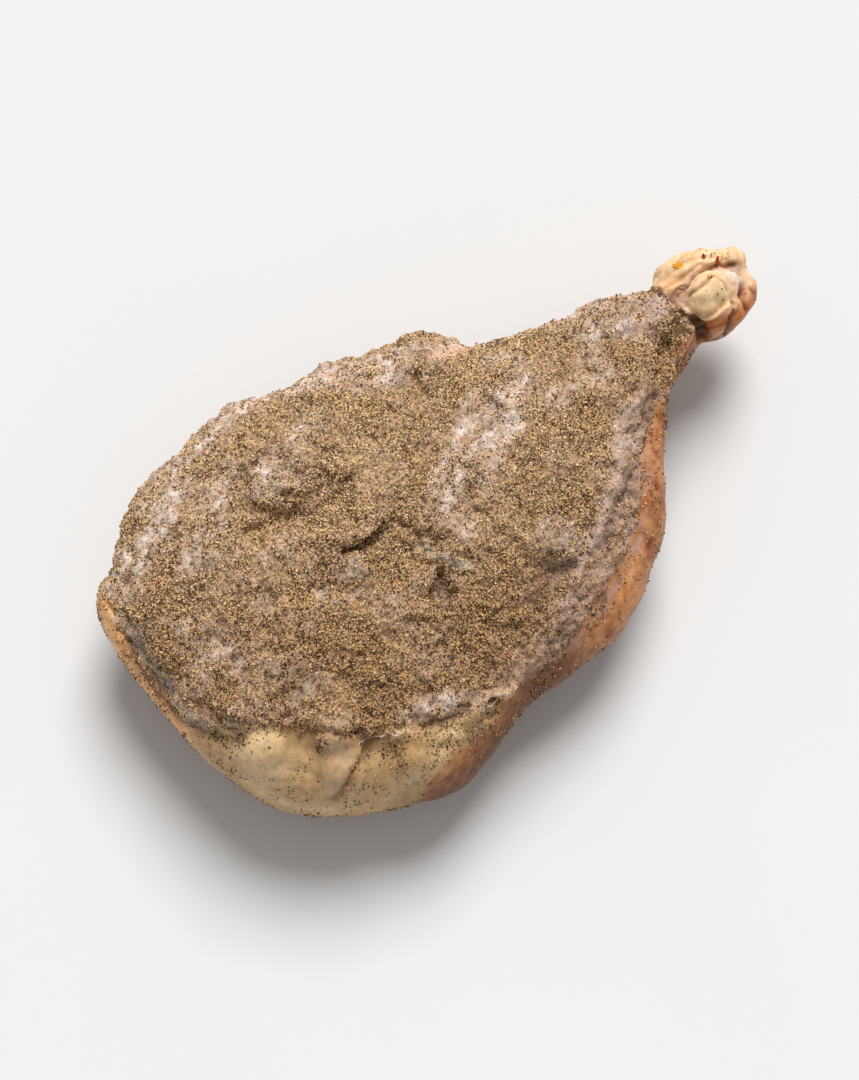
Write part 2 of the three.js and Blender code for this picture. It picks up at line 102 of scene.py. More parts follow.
# Whitish salt bloom along the muscles: route, half width and strength.
BLOOM = [
    ([(66, 24), (42, 20), (14, 15), (-2, 8), (-22, -2)], 11, 0.85),
    ([(46, 6), (20, -2), (4, -16)], 10, 0.6),
    ([(-5, 17), (-25, 6), (-46, -5)], 4.5, 0.7),
    ([(30, 82), (8, 84), (-16, 94)], 9, 0.9),
    ([(176, 8), (152, 12), (124, 26)], 9, 1),
    ([(122, -34), (100, -49), (84, -61), (52, -85), (14, -104), (-28, -118)], 11, 0.65),
    ([(-150, 120), (-190, 100), (-222, 84)], 10, 0.8),
    ([(-96, -114), (-116, -106), (-130, -98)], 7, 0.65),
    ([(-210, 28), (-196, 0), (-176, -30)], 13, 0.6),
    ([(-120, 100), (-150, 84), (-176, 72)], 10, 0.6),
    ([(-58, 96), (-92, 84), (-120, 80)], 7, 0.7),
    ([(-176, 120), (-150, 130), (-112, 136), (-77, 136), (-40, 122), (-10, 108), (12, 98)], 9, 0.9),
    ([(46, 78), (80, 68), (112, 52), (146, 36), (168, 26)], 7, 0.75),
    ([(-214, 108), (-232, 92)], 8, 0.7),
]

# Bands of the face with little pepper on them: route, half width and how much is missing.
BARE = [
    ([(-239, 65), (-239, 52), (-240, 38), (-240, 17), (-243, -5), (-238, -18)], 6, 0.85),
    (CARTILAGE_BAR, 3.6, 0.95),
    ([(-52, -44), (-52, -54), (-60, -62)], 2.6, 0.5),
    ([(132, -34), (106, -48), (86, -62), (52, -85), (14, -104), (-28, -119), (-60, -121)], 12, 0.85),
    ([(133, -41), (112, -56), (96, -69), (77, -86), (60, -97), (42, -107), (20, -116), (-4, -125)], 8, 0.9),
    ([(176, 4), (164, 4), (152, 8)], 8, 0.6),
    ([(-95, 7.5), (-86, 4.5), (-79, 4), (-72, 3.5), (-68, 4.5)], 1.5, 1),
    ([(-96, 15), (-86, 12), (-76, 11)], 4, 0.5),
    (FACE_HOLE, 2, 0.9),
    ([(-60, -42), (-65, -46), (-71, -47)], 3, 0.95),
    ([(-26, -90), (-6, -86), (8, -91)], 7, 0.75),
    ([(54, 72), (44, 76), (36, 78)], 6, 0.85),
    ([(-178, 128), (-150, 138), (-112, 144), (-77, 144), (-40, 130), (-10, 114), (14, 102)], 5, 0.7),
    ([(46, 84), (80, 76), (112, 60), (146, 44), (168, 32)], 4, 0.6),
    ([(-92, -120), (-70, -125), (-50, -124)], 8, 0.9),
]

# Fine folds of the face and the fat: route, half width and depth in millimetres, a ridge below 0.
FOLDS = [
    ([(-138, 62), (-118, 56), (-105, 49), (-92, 45), (-78, 42)], 3, 5),
    ([(-136, 80), (-124, 68), (-112, 57)], 2.6, 3.6),
    ([(51, 56), (34, 51), (18, 42), (0, 32), (-19, 18), (-40, 4), (-58, -12)], 8, -3.6),
    ([(58, 38), (45, 34), (30, 30), (6, 26), (-10, 20)], 2.4, 0.9),
    ([(-99, 9), (-92, 6), (-86, 4.5), (-79, 4), (-72, 3.5), (-66, 5)], 1.5, 5.5),
    (FACE_HOLE, 1.9, 3.4),
    (PIT, 3, 7.5),
    ([(63, 30), (39, 25), (11, 20), (-5, 12), (-25, 0)], 9, -1.4),
    ([(50, 64), (42, 61), (33, 58), (23, 55)], 2.2, 2.2),
    ([(52, 59), (44, 57), (34, 54), (24, 51)], 2.4, -1.6),
    ([(34, 90), (28, 83), (20, 76), (12, 70)], 2.6, 2.6),
    ([(-64, -22), (-60, -32), (-57, -42), (-50, -52)], 2.4, 2.4),
    ([(-78, -46), (-76, -56), (-68, -60)], 2.6, 2.4),
    ([(79, -71), (60, -80), (40, -94), (20, -101)], 4, 1.8),
    ([(-3, -88), (8, -92), (20, -94)], 4, 4.6),
    ([(-243, 71), (-242, 62), (-240, 49), (-244, 38), (-248, 19), (-249, -4), (-243, -17), (-237, -28)],
     2.2, 2.4),
    ([(-237, -24), (-222, -37), (-204, -54), (-190, -68)], 3, 2),
    ([(-176, -80), (-164, -92), (-150, -98), (-132, -110), (-112, -118)], 2.6, 1.8),
    ([(-150, -22), (-168, -18), (-186, -4), (-204, 4)], 3, 1.6),
    ([(-20, 96), (-50, 85), (-84, 75), (-112, 74)], 3, 1.8),
    ([(-60, 106), (-92, 95), (-124, 93)], 2.8, 1.8),
    ([(118, 20), (92, 6), (66, -12), (44, -22)], 3, 1.6),
    ([(150, 22), (120, 26), (92, 34)], 3, 1.5),
    ([(128, -36), (100, -52), (82, -66)], 3, 1.6),
    (TORN_HOLE, 2.2, 5.5),
    ([(-210, -79, 100), (-204, -88, 98), (-203, -101, 92)], 2.6, 1.2),
    (LOBE_CREASE, 3, 3.6),
]

# Folds of the hock, on its surface in three dimensions.
HOCK_FOLDS = [
    ([(184, 6, 92), (191, 8, 95), (199, 10, 98), (208, 10, 98), (216, 9, 97), (229, 4, 91), (236, -2, 88)],
     2, 3.4),
    (HOCK_LOBE_TOP, 1.5, 2.4),
    (HOCK_LOBE_END, 1.5, 1.6),
    ([(190, -1, 93), (196, 3, 98), (203, 6, 101)], 1.6, 1.6),
    ([(222, 2, 98), (222, -5, 98), (223, -12, 93), (219, -18, 90)], 1.6, 1.6),
    ([(183, 1, 91), (187, -2, 90), (190, -6, 91), (194, -10, 90), (198, -15, 89), (206, -20, 88),
      (214, -21, 88)], 1.7, -2.4),
    (HOCK_NOTCH, 3.4, 5.5),
    (HOCK_CLEFT, 1.9, 3.4),
    (HOCK_SIDE_CLEFT, 1.6, 2.4),
    ([(232, -14, 84), (234, -21, 74), (234, -25, 64)], 1.5, 1.4),
    ([(183, 16, 90), (196, 14, 93), (206, 13, 96), (216, 13, 95)], 1.4, 1.8),
    ([(186, 22, 88), (200, 21, 93), (214, 18, 94), (227, 11, 92)], 1.4, 1.6),
    ([(190, 27, 84), (204, 26, 89), (220, 21, 89)], 1.4, 1.4),
    ([(232, 6, 90), (238, 8, 84), (240, 12, 76)], 1.6, 1.8),
    ([(229, -1, 91), (228, -9, 92)], 1.1, 1.2),
    ([(232, -2, 88), (231, -10, 88)], 1.1, 1.2),
    ([(226, 0, 94), (225, -8, 95)], 1.1, 1),
    ([(229, -15, 86), (225, -19, 86)], 3.2, 3.2),
]

# Rolls and beads of flesh and fat that stand proud: route, radius and how far they stand out.
ROLLS = [
    ([(-105, 24, 128), (-95, 16, 130), (-84, 10.5, 131), (-72, 10, 128), (-62, 13, 124)], 6.5, 3),
    ([(-61, 4, 123)], 3.6, 0.4),
    ([(-104, 13, 126), (-99, 9, 126)], 3.6, 0.2),
    ([(-73, -40, 118), (-71, -44, 116)], 4.6, 2.4),
    ([(-80, -34, 120)], 5, 1.4),
    ([(-52, -45, 122), (-51, -54, 118), (-58, -62, 118)], 4, 1),
    ([(-58, -14, 118), (-54, -27, 121), (-50, -38, 123), (-42, -50, 124)], 5, 1),
    ([(-98, -36, 122), (-92, -50, 120), (-80, -60, 119)], 6, 1.2),
    ([(-77, -127, 97), (-72, -129, 94)], 6.5, 3.4),
    ([(-91, -121, 103)], 4.6, 2.6),
    ([(-60, -126, 95), (-52, -128, 90)], 4.6, 2),
    ([(-182, -84, 116), (-185, -95, 107), (-196, -102, 94)], 18, 4.6),
    ([(-230, -44, 102), (-226, -56, 102), (-228, -68, 95)], 18, 2),
    ([(-118, -128, 94), (-135, -134, 88), (-152, -136, 80), (-168, -136, 66)], 10, 2.4),
    ([(-150, -116, 100), (-158, -126, 88)], 14, 2),
    ([(-189, -72, 112)], 3.6, 2.2),
    ([(-185, -77, 115)], 4.2, 2.4),
    ([(-174, -86, 115)], 6, 2.8),
    ([(-149, -102, 110), (-142, -104, 112)], 5.4, 2.8),
    ([(-136, -117, 103)], 5, 2),
    ([(-125, -122, 98), (-117, -126, 96)], 6, 2.8),
    ([(-104, -124, 99), (-98, -120, 103)], 5, 2.2),
    ([(-220, -15, 119), (-222, -22, 121), (-219, -30, 121)], 3.4, 2.8),
    ([(46, 62, 102), (34, 59, 110), (23, 55, 114)], 3, 2),
    ([(38, 90, 104), (28, 83, 112), (18, 75, 117)], 4, 2),
    ([(178, 8, 92), (172, 2, 92), (164, 3, 93)], 5, 1.8),
    ([(186, -16, 86), (176, -21, 86), (162, -28, 85), (146, -34, 88)], 3.6, 1.6),
    ([(198, -6, 96), (208, -6, 98), (215, -9, 95)], 13, 2.2),
    ([(219, -7, 95), (220, -13, 92)], 7.5, 2.2),
    ([(184, 17, 84), (196, 20, 87), (211, 17, 90), (226, 11, 88)], 11, 1.8),
    ([(191, 12, 91), (204, 13, 94), (214, 13, 93)], 5, 1.6),
    ([(238, 5, 84), (241, 2, 80)], 7, 1.8),
    ([(183, 1, 91), (188, -4, 91), (194, -11, 90), (199, -17, 88), (207, -22, 87), (214, -22, 87)], 3.2, 2.8),
    ([(198, -27, 78), (208, -31, 74)], 11, 1.6),
    ([(219, -28, 78), (228, -24, 76)], 10, 1.8),
]
ROLL_STEP = 0.4                 # spheres of a roll are this share of its radius apart

# Colours, as linear red, green and blue.
SKIN = (0.68, 0.315, 0.125)
SKIN_DEEP = (0.34, 0.11, 0.032)
# painted shade of the rind, low down and on the near side
PAINTED_SKIN_SHADE = (0.16, 0.056, 0.014)
BLOOD = (0.24, 0.025, 0.012)
FAT_TONE = (0.68, 0.475, 0.25)
FAT_DEEP = (0.5, 0.295, 0.125)
# darker fat at random, and painted shade of the fat low down
FAT_DARK_AND_SHADE = (0.36, 0.16, 0.052)
# painted shade in the crease between the fat's lobes
FAT_CREASE_PAINTED_SHADE = (0.3, 0.165, 0.068)
CREAM = (0.92, 0.675, 0.41)
HOCK = (0.91, 0.61, 0.345)
WRAP = (0.62, 0.185, 0.045)
# painted shade: the hock's underside, and a fold of the face
PAINTED_RED_SHADE = (0.3, 0.082, 0.02)
MEAT = (0.52, 0.345, 0.215)
# darker meat under the pepper, and painted shade between the grains, in hollows and on the near side
MEAT_DEEP_AND_SHADE = (0.21, 0.108, 0.05)
SALT = (0.86, 0.75, 0.7)
SHANK_SKIN = (0.36, 0.115, 0.036)
# paler orange rind, and painted light on that side of the butt end
PALE_SKIN_AND_LIGHT = (1.0, 0.57, 0.26)
LILAC = (0.55, 0.4, 0.35)
CARTILAGE = (0.42, 0.38, 0.29)
TORN = (0.33, 0.2, 0.155)
GREY_FAT = (0.37, 0.32, 0.27)
# purple-brown of the meat, dark enough to be painted shade too where it lies in folds and hollows
PURPLE_AND_SHADE = (0.13, 0.07, 0.065)
# painted shade in grooves, holes, clefts and the neck gap
PAINTED_GROOVE_SHADE = (0.085, 0.038, 0.016)
# painted shadow under the hip crease's lip and in the torn hole
PAINTED_DEEP_SHADOW = (0.03, 0.018, 0.01)
# paler fat, and painted highlight on the lit sides of the lobes
PALE_FAT_AND_HIGHLIGHT = (0.84, 0.65, 0.4)
PINK_FAT = (0.86, 0.6, 0.46)
FAT_PINK = (0.68, 0.48, 0.31)
PEACH = (0.82, 0.43, 0.2)
# painted shade in the hock's creases
PAINTED_CREASE_SHADE = (0.22, 0.075, 0.028)
DUST_LIGHT = (0.86, 0.58, 0.29)
DUST_DARK = (0.085, 0.045, 0.02)
DARK_SPOT = (0.05, 0.022, 0.01)
CHILLI_RED = (0.34, 0.022, 0.008)
CHILLI_ORANGE = (0.86, 0.36, 0.015)
TISSUE = (0.74, 0.64, 0.58)
TISSUE_DEEP = (0.6, 0.47, 0.39)
PAPER = [(0.8, 0.8, 0.8), (0.81, 0.81, 0.81)]

# Places with a colour of their own, and places with painted shade or painted light: route, half width, colour
# and strength.
TINTS = [
    ([(-236, 74), (-233, 66), (-231, 56)], 3, PURPLE_AND_SHADE, 0.6),
    (CARTILAGE_BAR, 3.8, CARTILAGE, 0.9),
    ([(-52, -46), (-51, -54), (-58, -61)], 2.2, LILAC, 0.6),
    ([(-73, -40), (-72, -42)], 4, LILAC, 0.7),
    ([(-76, -50), (-70, -54), (-64, -52)], 4.5, PURPLE_AND_SHADE, 0.6),
    ([(-93, 6.5), (-86, 4.5), (-79, 4), (-72, 3.5), (-68, 4.5)], 1, PAINTED_DEEP_SHADOW, 1),
    ([(-98, 14), (-88, 11), (-78, 10), (-70, 11)], 5, LILAC, 0.5),
    ([(-134, 53), (-118, 55), (-105, 49), (-92, 45), (-78, 42)], 2.6, PAINTED_GROOVE_SHADE, 0.6),
    (FACE_HOLE, 1.9, PAINTED_GROOVE_SHADE, 0.9),
    (PIT, 3.2, PAINTED_GROOVE_SHADE, 1),
    ([(36, 91), (28, 83), (20, 76)], 4, PAINTED_RED_SHADE, 0.75),
    ([(54, 72), (44, 76), (36, 78)], 6, PINK_FAT, 0.85),
    ([(46, 64), (36, 60), (24, 56)], 2.2, PAINTED_GROOVE_SHADE, 0.6),
    ([(-24, -90), (-6, -86), (8, -91)], 5, PURPLE_AND_SHADE, 0.8),
    # painted shade of the hollows and grooves of the face
    ([(-122, 54), (-108, 50), (-92, 42)], 10, MEAT_DEEP_AND_SHADE, 0.55),
    ([(-110, 22), (-96, 14)], 8, MEAT_DEEP_AND_SHADE, 0.45),
    ([(-190, -40), (-170, -34)], 13, MEAT_DEEP_AND_SHADE, 0.45),
    ([(26, 80), (18, 70)], 8, MEAT_DEEP_AND_SHADE, 0.55),
    ([(128, -22), (112, -24)], 10, MEAT_DEEP_AND_SHADE, 0.55),
    ([(-26, -92), (-14, -86)], 8, MEAT_DEEP_AND_SHADE, 0.45),
    ([(96, -64), (84, -70), (57, -87), (29, -100), (2, -111), (-24, -119)], 7, TORN, 0.6),
    ([(79, -71), (60, -80), (40, -92)], 3.5, PURPLE_AND_SHADE, 0.5),
    ([(165, -8), (160, -14), (156, -20)], 5, PAINTED_GROOVE_SHADE, 0.75),
    ([(176, -12), (156, -20), (138, -30), (116, -44)], 6, MEAT_DEEP_AND_SHADE, 0.6),
    ([(173, 14), (176, 2), (168, -2), (158, 2)], 7, LILAC, 0.8),
    ([(186, -19, 87), (176, -22, 87), (163, -28, 86), (150, -34, 85), (136, -42, 87)], 1, CREAM, 0.7),
    ([(-92, -122, 102), (-78, -127, 98), (-66, -128, 94)], 5.5, CREAM, 0.75),
    (TORN_HOLE, 2.4, PAINTED_DEEP_SHADOW, 1),
    ([(-150, -102, 110), (-140, -106, 111)], 5, CREAM, 0.6),
    ([(-124, -122, 99), (-116, -125, 98)], 5, CREAM, 0.6),
    ([(-184, -80, 115), (-184, -92, 108), (-196, -102, 95)], 13, FAT_PINK, 0.6),
    ([(-232, -42, 100), (-224, -56, 105), (-224, -68, 98)], 14, PALE_FAT_AND_HIGHLIGHT, 0.6),
    ([(-240, -62, 88), (-230, -90, 76), (-214, -106, 70)], 10, PALE_FAT_AND_HIGHLIGHT, 0.5),
    ([(-134, -126, 94), (-152, -130, 90), (-172, -128, 76)], 8, PALE_FAT_AND_HIGHLIGHT, 0.4),
    (LOBE_CREASE, 5, FAT_CREASE_PAINTED_SHADE, 0.85),
    ([(-238, 84), (-238, 76)], 4, CREAM, 0.7),
    ([(-252, 92), (-251, 84)], 5, BLOOD, 0.8),
    ([(36, -59), (38, -60)], 2.2, BLOOD, 0.7),
    ([(66, -109, 86), (64, -110, 84)], 3, BLOOD, 0.8),
    ([(18, -113, 101), (12, -116, 100)], 3.5, BLOOD, 0.6),
    ([(95, -81, 90), (92, -84, 88)], 2.2, BLOOD, 0.7),
    ([(109, -64, 89), (107, -66, 87)], 2.2, BLOOD, 0.6),
    ([(-41, -127, 88), (-44, -128, 84)], 4.5, PAINTED_GROOVE_SHADE, 0.75),
    # painted shade on the low near side of the rind
    ([(-40, -140, 68), (-90, -146, 66), (-120, -150, 64), (-150, -150, 58)], 24, PAINTED_SKIN_SHADE, 0.95),
    ([(184, -22, 80), (173, -26, 78), (163, -31, 73), (150, -36, 72), (138, -46, 75), (124, -58, 78)],
     11, SHANK_SKIN, 0.9),
    ([(-242, 88, 84), (-250, 62, 76), (-254, 30, 72), (-253, -5, 72)], 12, PALE_SKIN_AND_LIGHT, 0.95),
    ([(-237, 72, 96), (-238, 58, 95), (-242, 41, 93), (-244, 23, 91), (-244, 1, 92), (-238, -16, 96)],
     6, GREY_FAT, 0.9),
    ([(-241, 68, 92), (-246, 45, 88), (-250, 24, 83), (-250, 2, 84), (-243, -17, 90)], 1.7, PURPLE_AND_SHADE, 0.85),
]
HOCK_TINTS = [
    # painted light: the cream front lobe made paler, as if it faced the light more
    ([(198, -6, 98), (208, -6, 100), (216, -10, 96)], 12, CREAM, 0.75),
    ([(194, -20, 84), (206, -26, 84), (218, -28, 80), (232, -24, 74)], 9, WRAP, 1),
    ([(190, -26, 62), (206, -34, 60), (222, -34, 58), (238, -24, 56)], 14, PAINTED_RED_SHADE, 0.9),
    (HOCK_CLEFT, 1.8, PAINTED_GROOVE_SHADE, 0.75),
    (HOCK_SIDE_CLEFT, 1.5, PAINTED_GROOVE_SHADE, 0.7),
    (HOCK_NOTCH, 4, PAINTED_GROOVE_SHADE, 0.95),
    ([(183, 1, 91), (190, -5, 91), (198, -15, 89), (206, -20, 88), (214, -21, 88)], 1.8, CREAM, 0.9),
    ([(228, -16, 87), (232, -14, 85), (226, -19, 86)], 2.6, BLOOD, 0.95),
    ([(188, -8, 90), (190, -10, 90)], 1.6, BLOOD, 0.8),
    ([(226, -1, 94), (228, -8, 94), (229, -12, 92)], 4.6, SALT, 0.8),
    ([(232, 0, 88), (236, -6, 86), (234, -12, 84)], 4, LILAC, 0.7),
    ([(184, 6, 92), (191, 8, 95), (199, 10, 98), (208, 10, 98)], 2.2, LILAC, 0.75),
    ([(190, 6, 94), (199, 10, 98), (208, 10, 98), (216, 9, 97), (229, 4, 91), (236, -2, 88)],
     1.6, PAINTED_CREASE_SHADE, 0.95),
    ([(192, -22, 84), (200, -24, 84), (208, -27, 82), (216, -24, 86)], 1.4, PAINTED_CREASE_SHADE, 0.6),
    (HOCK_LOBE_TOP, 1.2, PAINTED_CREASE_SHADE, 0.6),
    (HOCK_LOBE_END, 1.2, PAINTED_CREASE_SHADE, 0.4),
    ([(180, 2, 90), (186, 4, 91), (190, -2, 91)], 4.5, LILAC, 0.7),
]

# Flakes of dried chilli: middle, half length, half width, turn in degrees and colour name.
CHILLI_FLAKES = [
    ((205, 22, 93), 4.4, 2.2, 118, "orange"),
    ((221, 16, 95), 2.2, 1.4, 60, "red"),
    ((227, 9, 91), 2.7, 1.5, 40, "red"),
    ((213, 1, 102), 2.2, 1.2, 150, "orange"),
    ((228, 13, 90), 1.3, 1.0, 10, "orange"),
    ((190, -9, 91), 1.8, 1.0, 20, "red"),
    ((173, -21, 86), 1.6, 0.8, 60, "red"),
    ((-1, 49, 120), 2.0, 1.4, 80, "red"),
    ((-202, 78, 118), 1.6, 1.0, 30, "red"),
    ((20, -96, 108), 1.8, 1.4, 70, "orange"),
]
LOOSE_FLAKES = 46
LOOSE_FLAKE_HALF = (0.6, 1.2)
LOOSE_ORANGE = 0.45             # share of the loose flakes that are orange
FLAKE_CORNERS = 9
FLAKE_THICK = 0.32

# Torn pale strands lying on the surface: route they gather on, how many, and their spread.
STRANDS = [
    ([(112, -50, 101), (90, -66, 102), (64, -84, 103), (34, -98, 104), (8, -108, 104)], 12, 5),
    ([(36, 88, 108), (24, 80, 114), (16, 72, 118)], 10, 2.5),
    ([(-96, -120, 103), (-84, -124, 100), (-70, -127, 97)], 9, 3),
    ([(-240, 74, 90), (-236, 78, 94)], 6, 2),
    ([(-186, -74, 114), (-170, -88, 112), (-146, -102, 110)], 10, 3.5),
]
STRAND_HALF = (1.8, 4.5)        # least and most half length
STRAND_THICK = (0.30, 0.60)
STRAND_POINTS = 7
STRAND_SIDES = 4

# The fine skin, in millimetres: size of its faces, and the boxes in which they are halved.
VOXEL = 1.8
FINE_BOXES = [((174, -60, 20), (260, 60, 120)), ((-112, -62, 100), (-40, 36, 140))]
SMOOTH_STEPS = 5
ROLL_SMOOTH_STEPS = 2
MUSCLE_TURN = 14.0              # degrees from the leg's axis
ROUTE_STEP = 2.5

# Relief of each kind of surface: the heights of its forms in millimetres.
FACE_FORMS = {"lumps": 1.3, "crumbs": 1.1, "crags": 1.7, "ledges": 2.3, "scales": 1.5}
TORN_FORMS = {"crumbs": 1.5, "fibres": 0.9}
FAT_FORMS = {"lumps": 0.9, "crumbs": 0.35}
SKIN_FORMS = {"lumps": 0.35, "crumbs": 0.1}
HOCK_FORMS = {"wrinkles": 0.34, "lumps": 0.3}
FIBRES = 0.6                    # of the face's muscles, higher under bloom
FACE_LIP = 0.9                  # the raised edge of the face
FACE_SINK = 1.4                 # keeps the roughened face level with the solid's

# Pepper: kinds of grain with their number, half size, colours, and how thickly they lie off the face.
PEPPER = [
    {"name": "pepper_gold", "count": 31000, "half": (0.44, 0.98), "off_face": 1.1,
     "colours": [(1.0, 0.72, 0.36), (0.68, 0.38, 0.13)]},
    {"name": "pepper_straw", "count": 17000, "half": (0.42, 0.9), "off_face": 0.8,
     "colours": [(0.98, 0.78, 0.54), (0.62, 0.38, 0.19)]},
    {"name": "pepper_brown", "count": 27000, "half": (0.42, 0.94), "off_face": 1.8,
     "colours": [(0.25, 0.108, 0.044), (0.1, 0.04, 0.016)]},
    {"name": "pepper_dark", "count": 12500, "half": (0.4, 0.94), "off_face": 2.8,
     "colours": [(0.055, 0.023, 0.01), (0.016, 0.008, 0.005)]},
]
GRAIN_CORNERS = np.array([(0, 0, 1), (1, 0, 0), (-0.5, 0.87, 0), (-0.5, -0.87, 0), (0, 0, -1)])
GRAIN_FACES = np.array([(0, 1, 2), (0, 2, 3), (0, 3, 1), (4, 2, 1), (4, 3, 2), (4, 1, 3)])
GRAIN_JITTER = 0.14
GRAIN_SKEW = 1.5                # above 1 makes small grains the commoner ones
GRAIN_LIFT = (-0.1, 0.55)
GRAIN_PALER = 0.22              # moves all grains towards their light colour
NEAR_PAINTED_SHADE = 0.72              # moves grains on the near side towards their dark colour, as painted shade
BLOOM_WITHOUT = 0.82            # share of the pepper that is missing on full bloom

# How thickly grains lie off the face, as a share of its thickest cover.
FAT_COVER = 0.11
HOCK_COVER = 0.008
SKIN_COVER = 0.006
SKIN_EDGE_COVER = 0.10

# Light: a soft sun from the top of the picture, its angles in degrees, and an even sky.
SUN_HEIGHT = 53.0
SUN_ASIDE = -10.0
SUN_ENERGY = 2.98
SUN_SOFTNESS = 30.0
SKY = 0.35

# The floor, in metres: half its width, and how far it lies below the ham.
FLOOR_HALF = 3.0
FLOOR_GAP = 0.0002


def unit(values):
    """Values held between 0 and 1."""
    return np.clip(values, 0.0, 1.0)


def smoothstep(values, low, high):
    share = unit((values - low) / (high - low))
    return share * share * (3.0 - 2.0 * share)


def hashed(cells, seed):
    """A fixed random number from -1 to 1 for each lattice cell."""
    mixed = (cells[:, 0] * 73856093) ^ (cells[:, 1] * 19349663) ^ (cells[:, 2] * 83492791)
    mixed = (mixed ^ (seed * 2654435761)) & 0x7FFFFFFF
    mixed = ((mixed ^ (mixed >> 13)) * 1274126177) & 0x7FFFFFFF
    mixed = mixed ^ (mixed >> 16)
    return (mixed & 0xFFFF) / 32767.5 - 1.0


def lattice_noise(points, wavelength, seed):
    """Smooth noise from -1 to 1 that turns over about once a wavelength."""
    scaled = points / wavelength
    base = np.floor(scaled).astype(np.int64)
    share = scaled - base
    share = share ** 3 * (share * (share * 6.0 - 15.0) + 10.0)
    total = np.zeros(len(points))
    for corner in product((0, 1), repeat=3):
        weight = np.prod(np.where(corner, share, 1.0 - share), axis=1)
        total += weight * hashed(base + np.array(corner), seed)
    return total


def layered_noise(points, wavelength, seed, layers=3):
    """Noise with finer and fainter layers on top."""
    total = np.zeros(len(points))
    for layer in range(layers):
        total += lattice_noise(points, wavelength / 2 ** layer, seed + layer) / 2 ** layer
    return total / 1.5


def along_muscles(points, turn=MUSCLE_TURN, stretch=0.3):
    """Points with the direction of the muscles shortened, so that noise on them runs in streaks."""
    angle = math.radians(turn)
    along = points[:, 0] * math.cos(angle) + points[:, 1] * math.sin(angle)
    across = points[:, 1] * math.cos(angle) - points[:, 0] * math.sin(angle)
    return np.stack([along * stretch, across, points[:, 2]], axis=1)


def route_places(route, spacing):
    """Places along a route, about a spacing apart."""
    corners = np.array(route, float)
    places = [corners[0]]
    for start, end in zip(corners[:-1], corners[1:]):
        steps = max(1, round(np.linalg.norm(end - start) / spacing))
        places += [start + (end - start) * (k + 1) / steps for k in range(steps)]
    return places


def on_surface(tree, bands, offset):
    """The bands with the routes that have heights cut into short steps and laid on the surface."""
    laid = []
    for route, *rest in bands:
        if len(route[0]) == 3:
            places = route_places(route, ROUTE_STEP)
            spots = [tree.find_nearest(Vector((place + offset) * MM))[0] for place in places]
            route = [tuple(np.array(spot) / MM - offset) for spot in spots]
        laid.append((route, *rest))
    return laid


def route_distance(points, route):
    """Distance from each point to a route, seen from above where the route has no heights."""
    nearest = np.full(len(points), np.inf)
    corners = np.array(route, float)
    size = corners.shape[1]
    for start, end in zip(corners[:-1], corners[1:]):
        step = end - start
        along = unit((points[:, :size] - start) @ step / (step @ step))
        gap = points[:, :size] - start - along[:, None] * step
        nearest = np.minimum(nearest, np.sqrt((gap * gap).sum(axis=1)))
    return nearest


def depth_inside(points, outline):
    """Distance from each point to a closed outline seen from above, below 0 outside it."""
    corners = np.array(outline, float)
    closed = np.vstack([corners, corners[:1]])
    x, y = points[:, 0], points[:, 1]
    inside = np.zeros(len(points), bool)
    for (x0, y0), (x1, y1) in zip(closed[:-1], closed[1:]):
        if y0 != y1:
            crosses = (y0 > y) != (y1 > y)
            inside ^= crosses & (x < (x1 - x0) * (y - y0) / (y1 - y0) + x0)
    distance = route_distance(points, closed)
    return np.where(inside, distance, -distance)


def band(points, route, width):
    """1 on a route, fading out smoothly over its width."""
    return np.exp(-(route_distance(points, route) / width) ** 2)


def most_of(points, bands):
    """The strongest of several bands at each point."""
    strongest = np.zeros(len(points))
    for route, width, strength in bands:
        strongest = np.maximum(strongest, strength * band(points, route, width))
    return strongest


def zones_at(points):
    """How much of each kind of surface there is at points of the drawing frame, 0 to 1 each."""
    x, y, z = points.T
    wander = 3.5 * layered_noise(points, 16.0, 21) + 1.6 * lattice_noise(points, 4.0, 25)
    face_depth = depth_inside(points, FACE) + wander
    far_side = smoothstep(y, 20.0, 60.0)
    low = smoothstep(z + 2.0 * wander, 62.0 - 16.0 * far_side, 76.0 - 16.0 * far_side)
    hock = smoothstep(x - np.interp(y, *np.array(HOCK_FROM).T[::-1]) + 0.5 * wander, -2.0, 2.0)
    face = smoothstep(face_depth, -1.0, 1.5) * low * (1.0 - hock)
    fat = smoothstep(depth_inside(points, FAT) + 0.6 * wander, -1.5, 1.5)
    fat = fat * smoothstep(z + 2.0 * wander, FAT_TO_Z, FAT_TO_Z + 6.0) * (1.0 - face)
    streaks = layered_noise(along_muscles(points, stretch=0.25), 4.0, 51)
    broken = layered_noise(points, 3.5, 55, 2)
    patches = smoothstep(layered_noise(along_muscles(points, stretch=0.6), 22.0, 41), 0.0, 0.55)
    texture = 0.78 + 0.9 * streaks + 0.9 * broken
    bloom = most_of(points, BLOOM) * texture + 0.5 * patches * texture
    bare = most_of(points, BARE) * (0.9 + 0.4 * streaks)
    heaps = 0.55 * layered_noise(points, 5.5, 121) + 0.65 * layered_noise(points, 26.0, 125, 2)
    return {"face": face, "fat": fat, "hock": hock, "bloom": unit(bloom),
            "bare": unit(bare), "clumps": smoothstep(heaps, -0.45, 0.28),
            "face_depth": face_depth, "streaks": streaks}


def mixed_forms(forms, heights):
    return sum(height * forms[name] for name, height in heights.items())


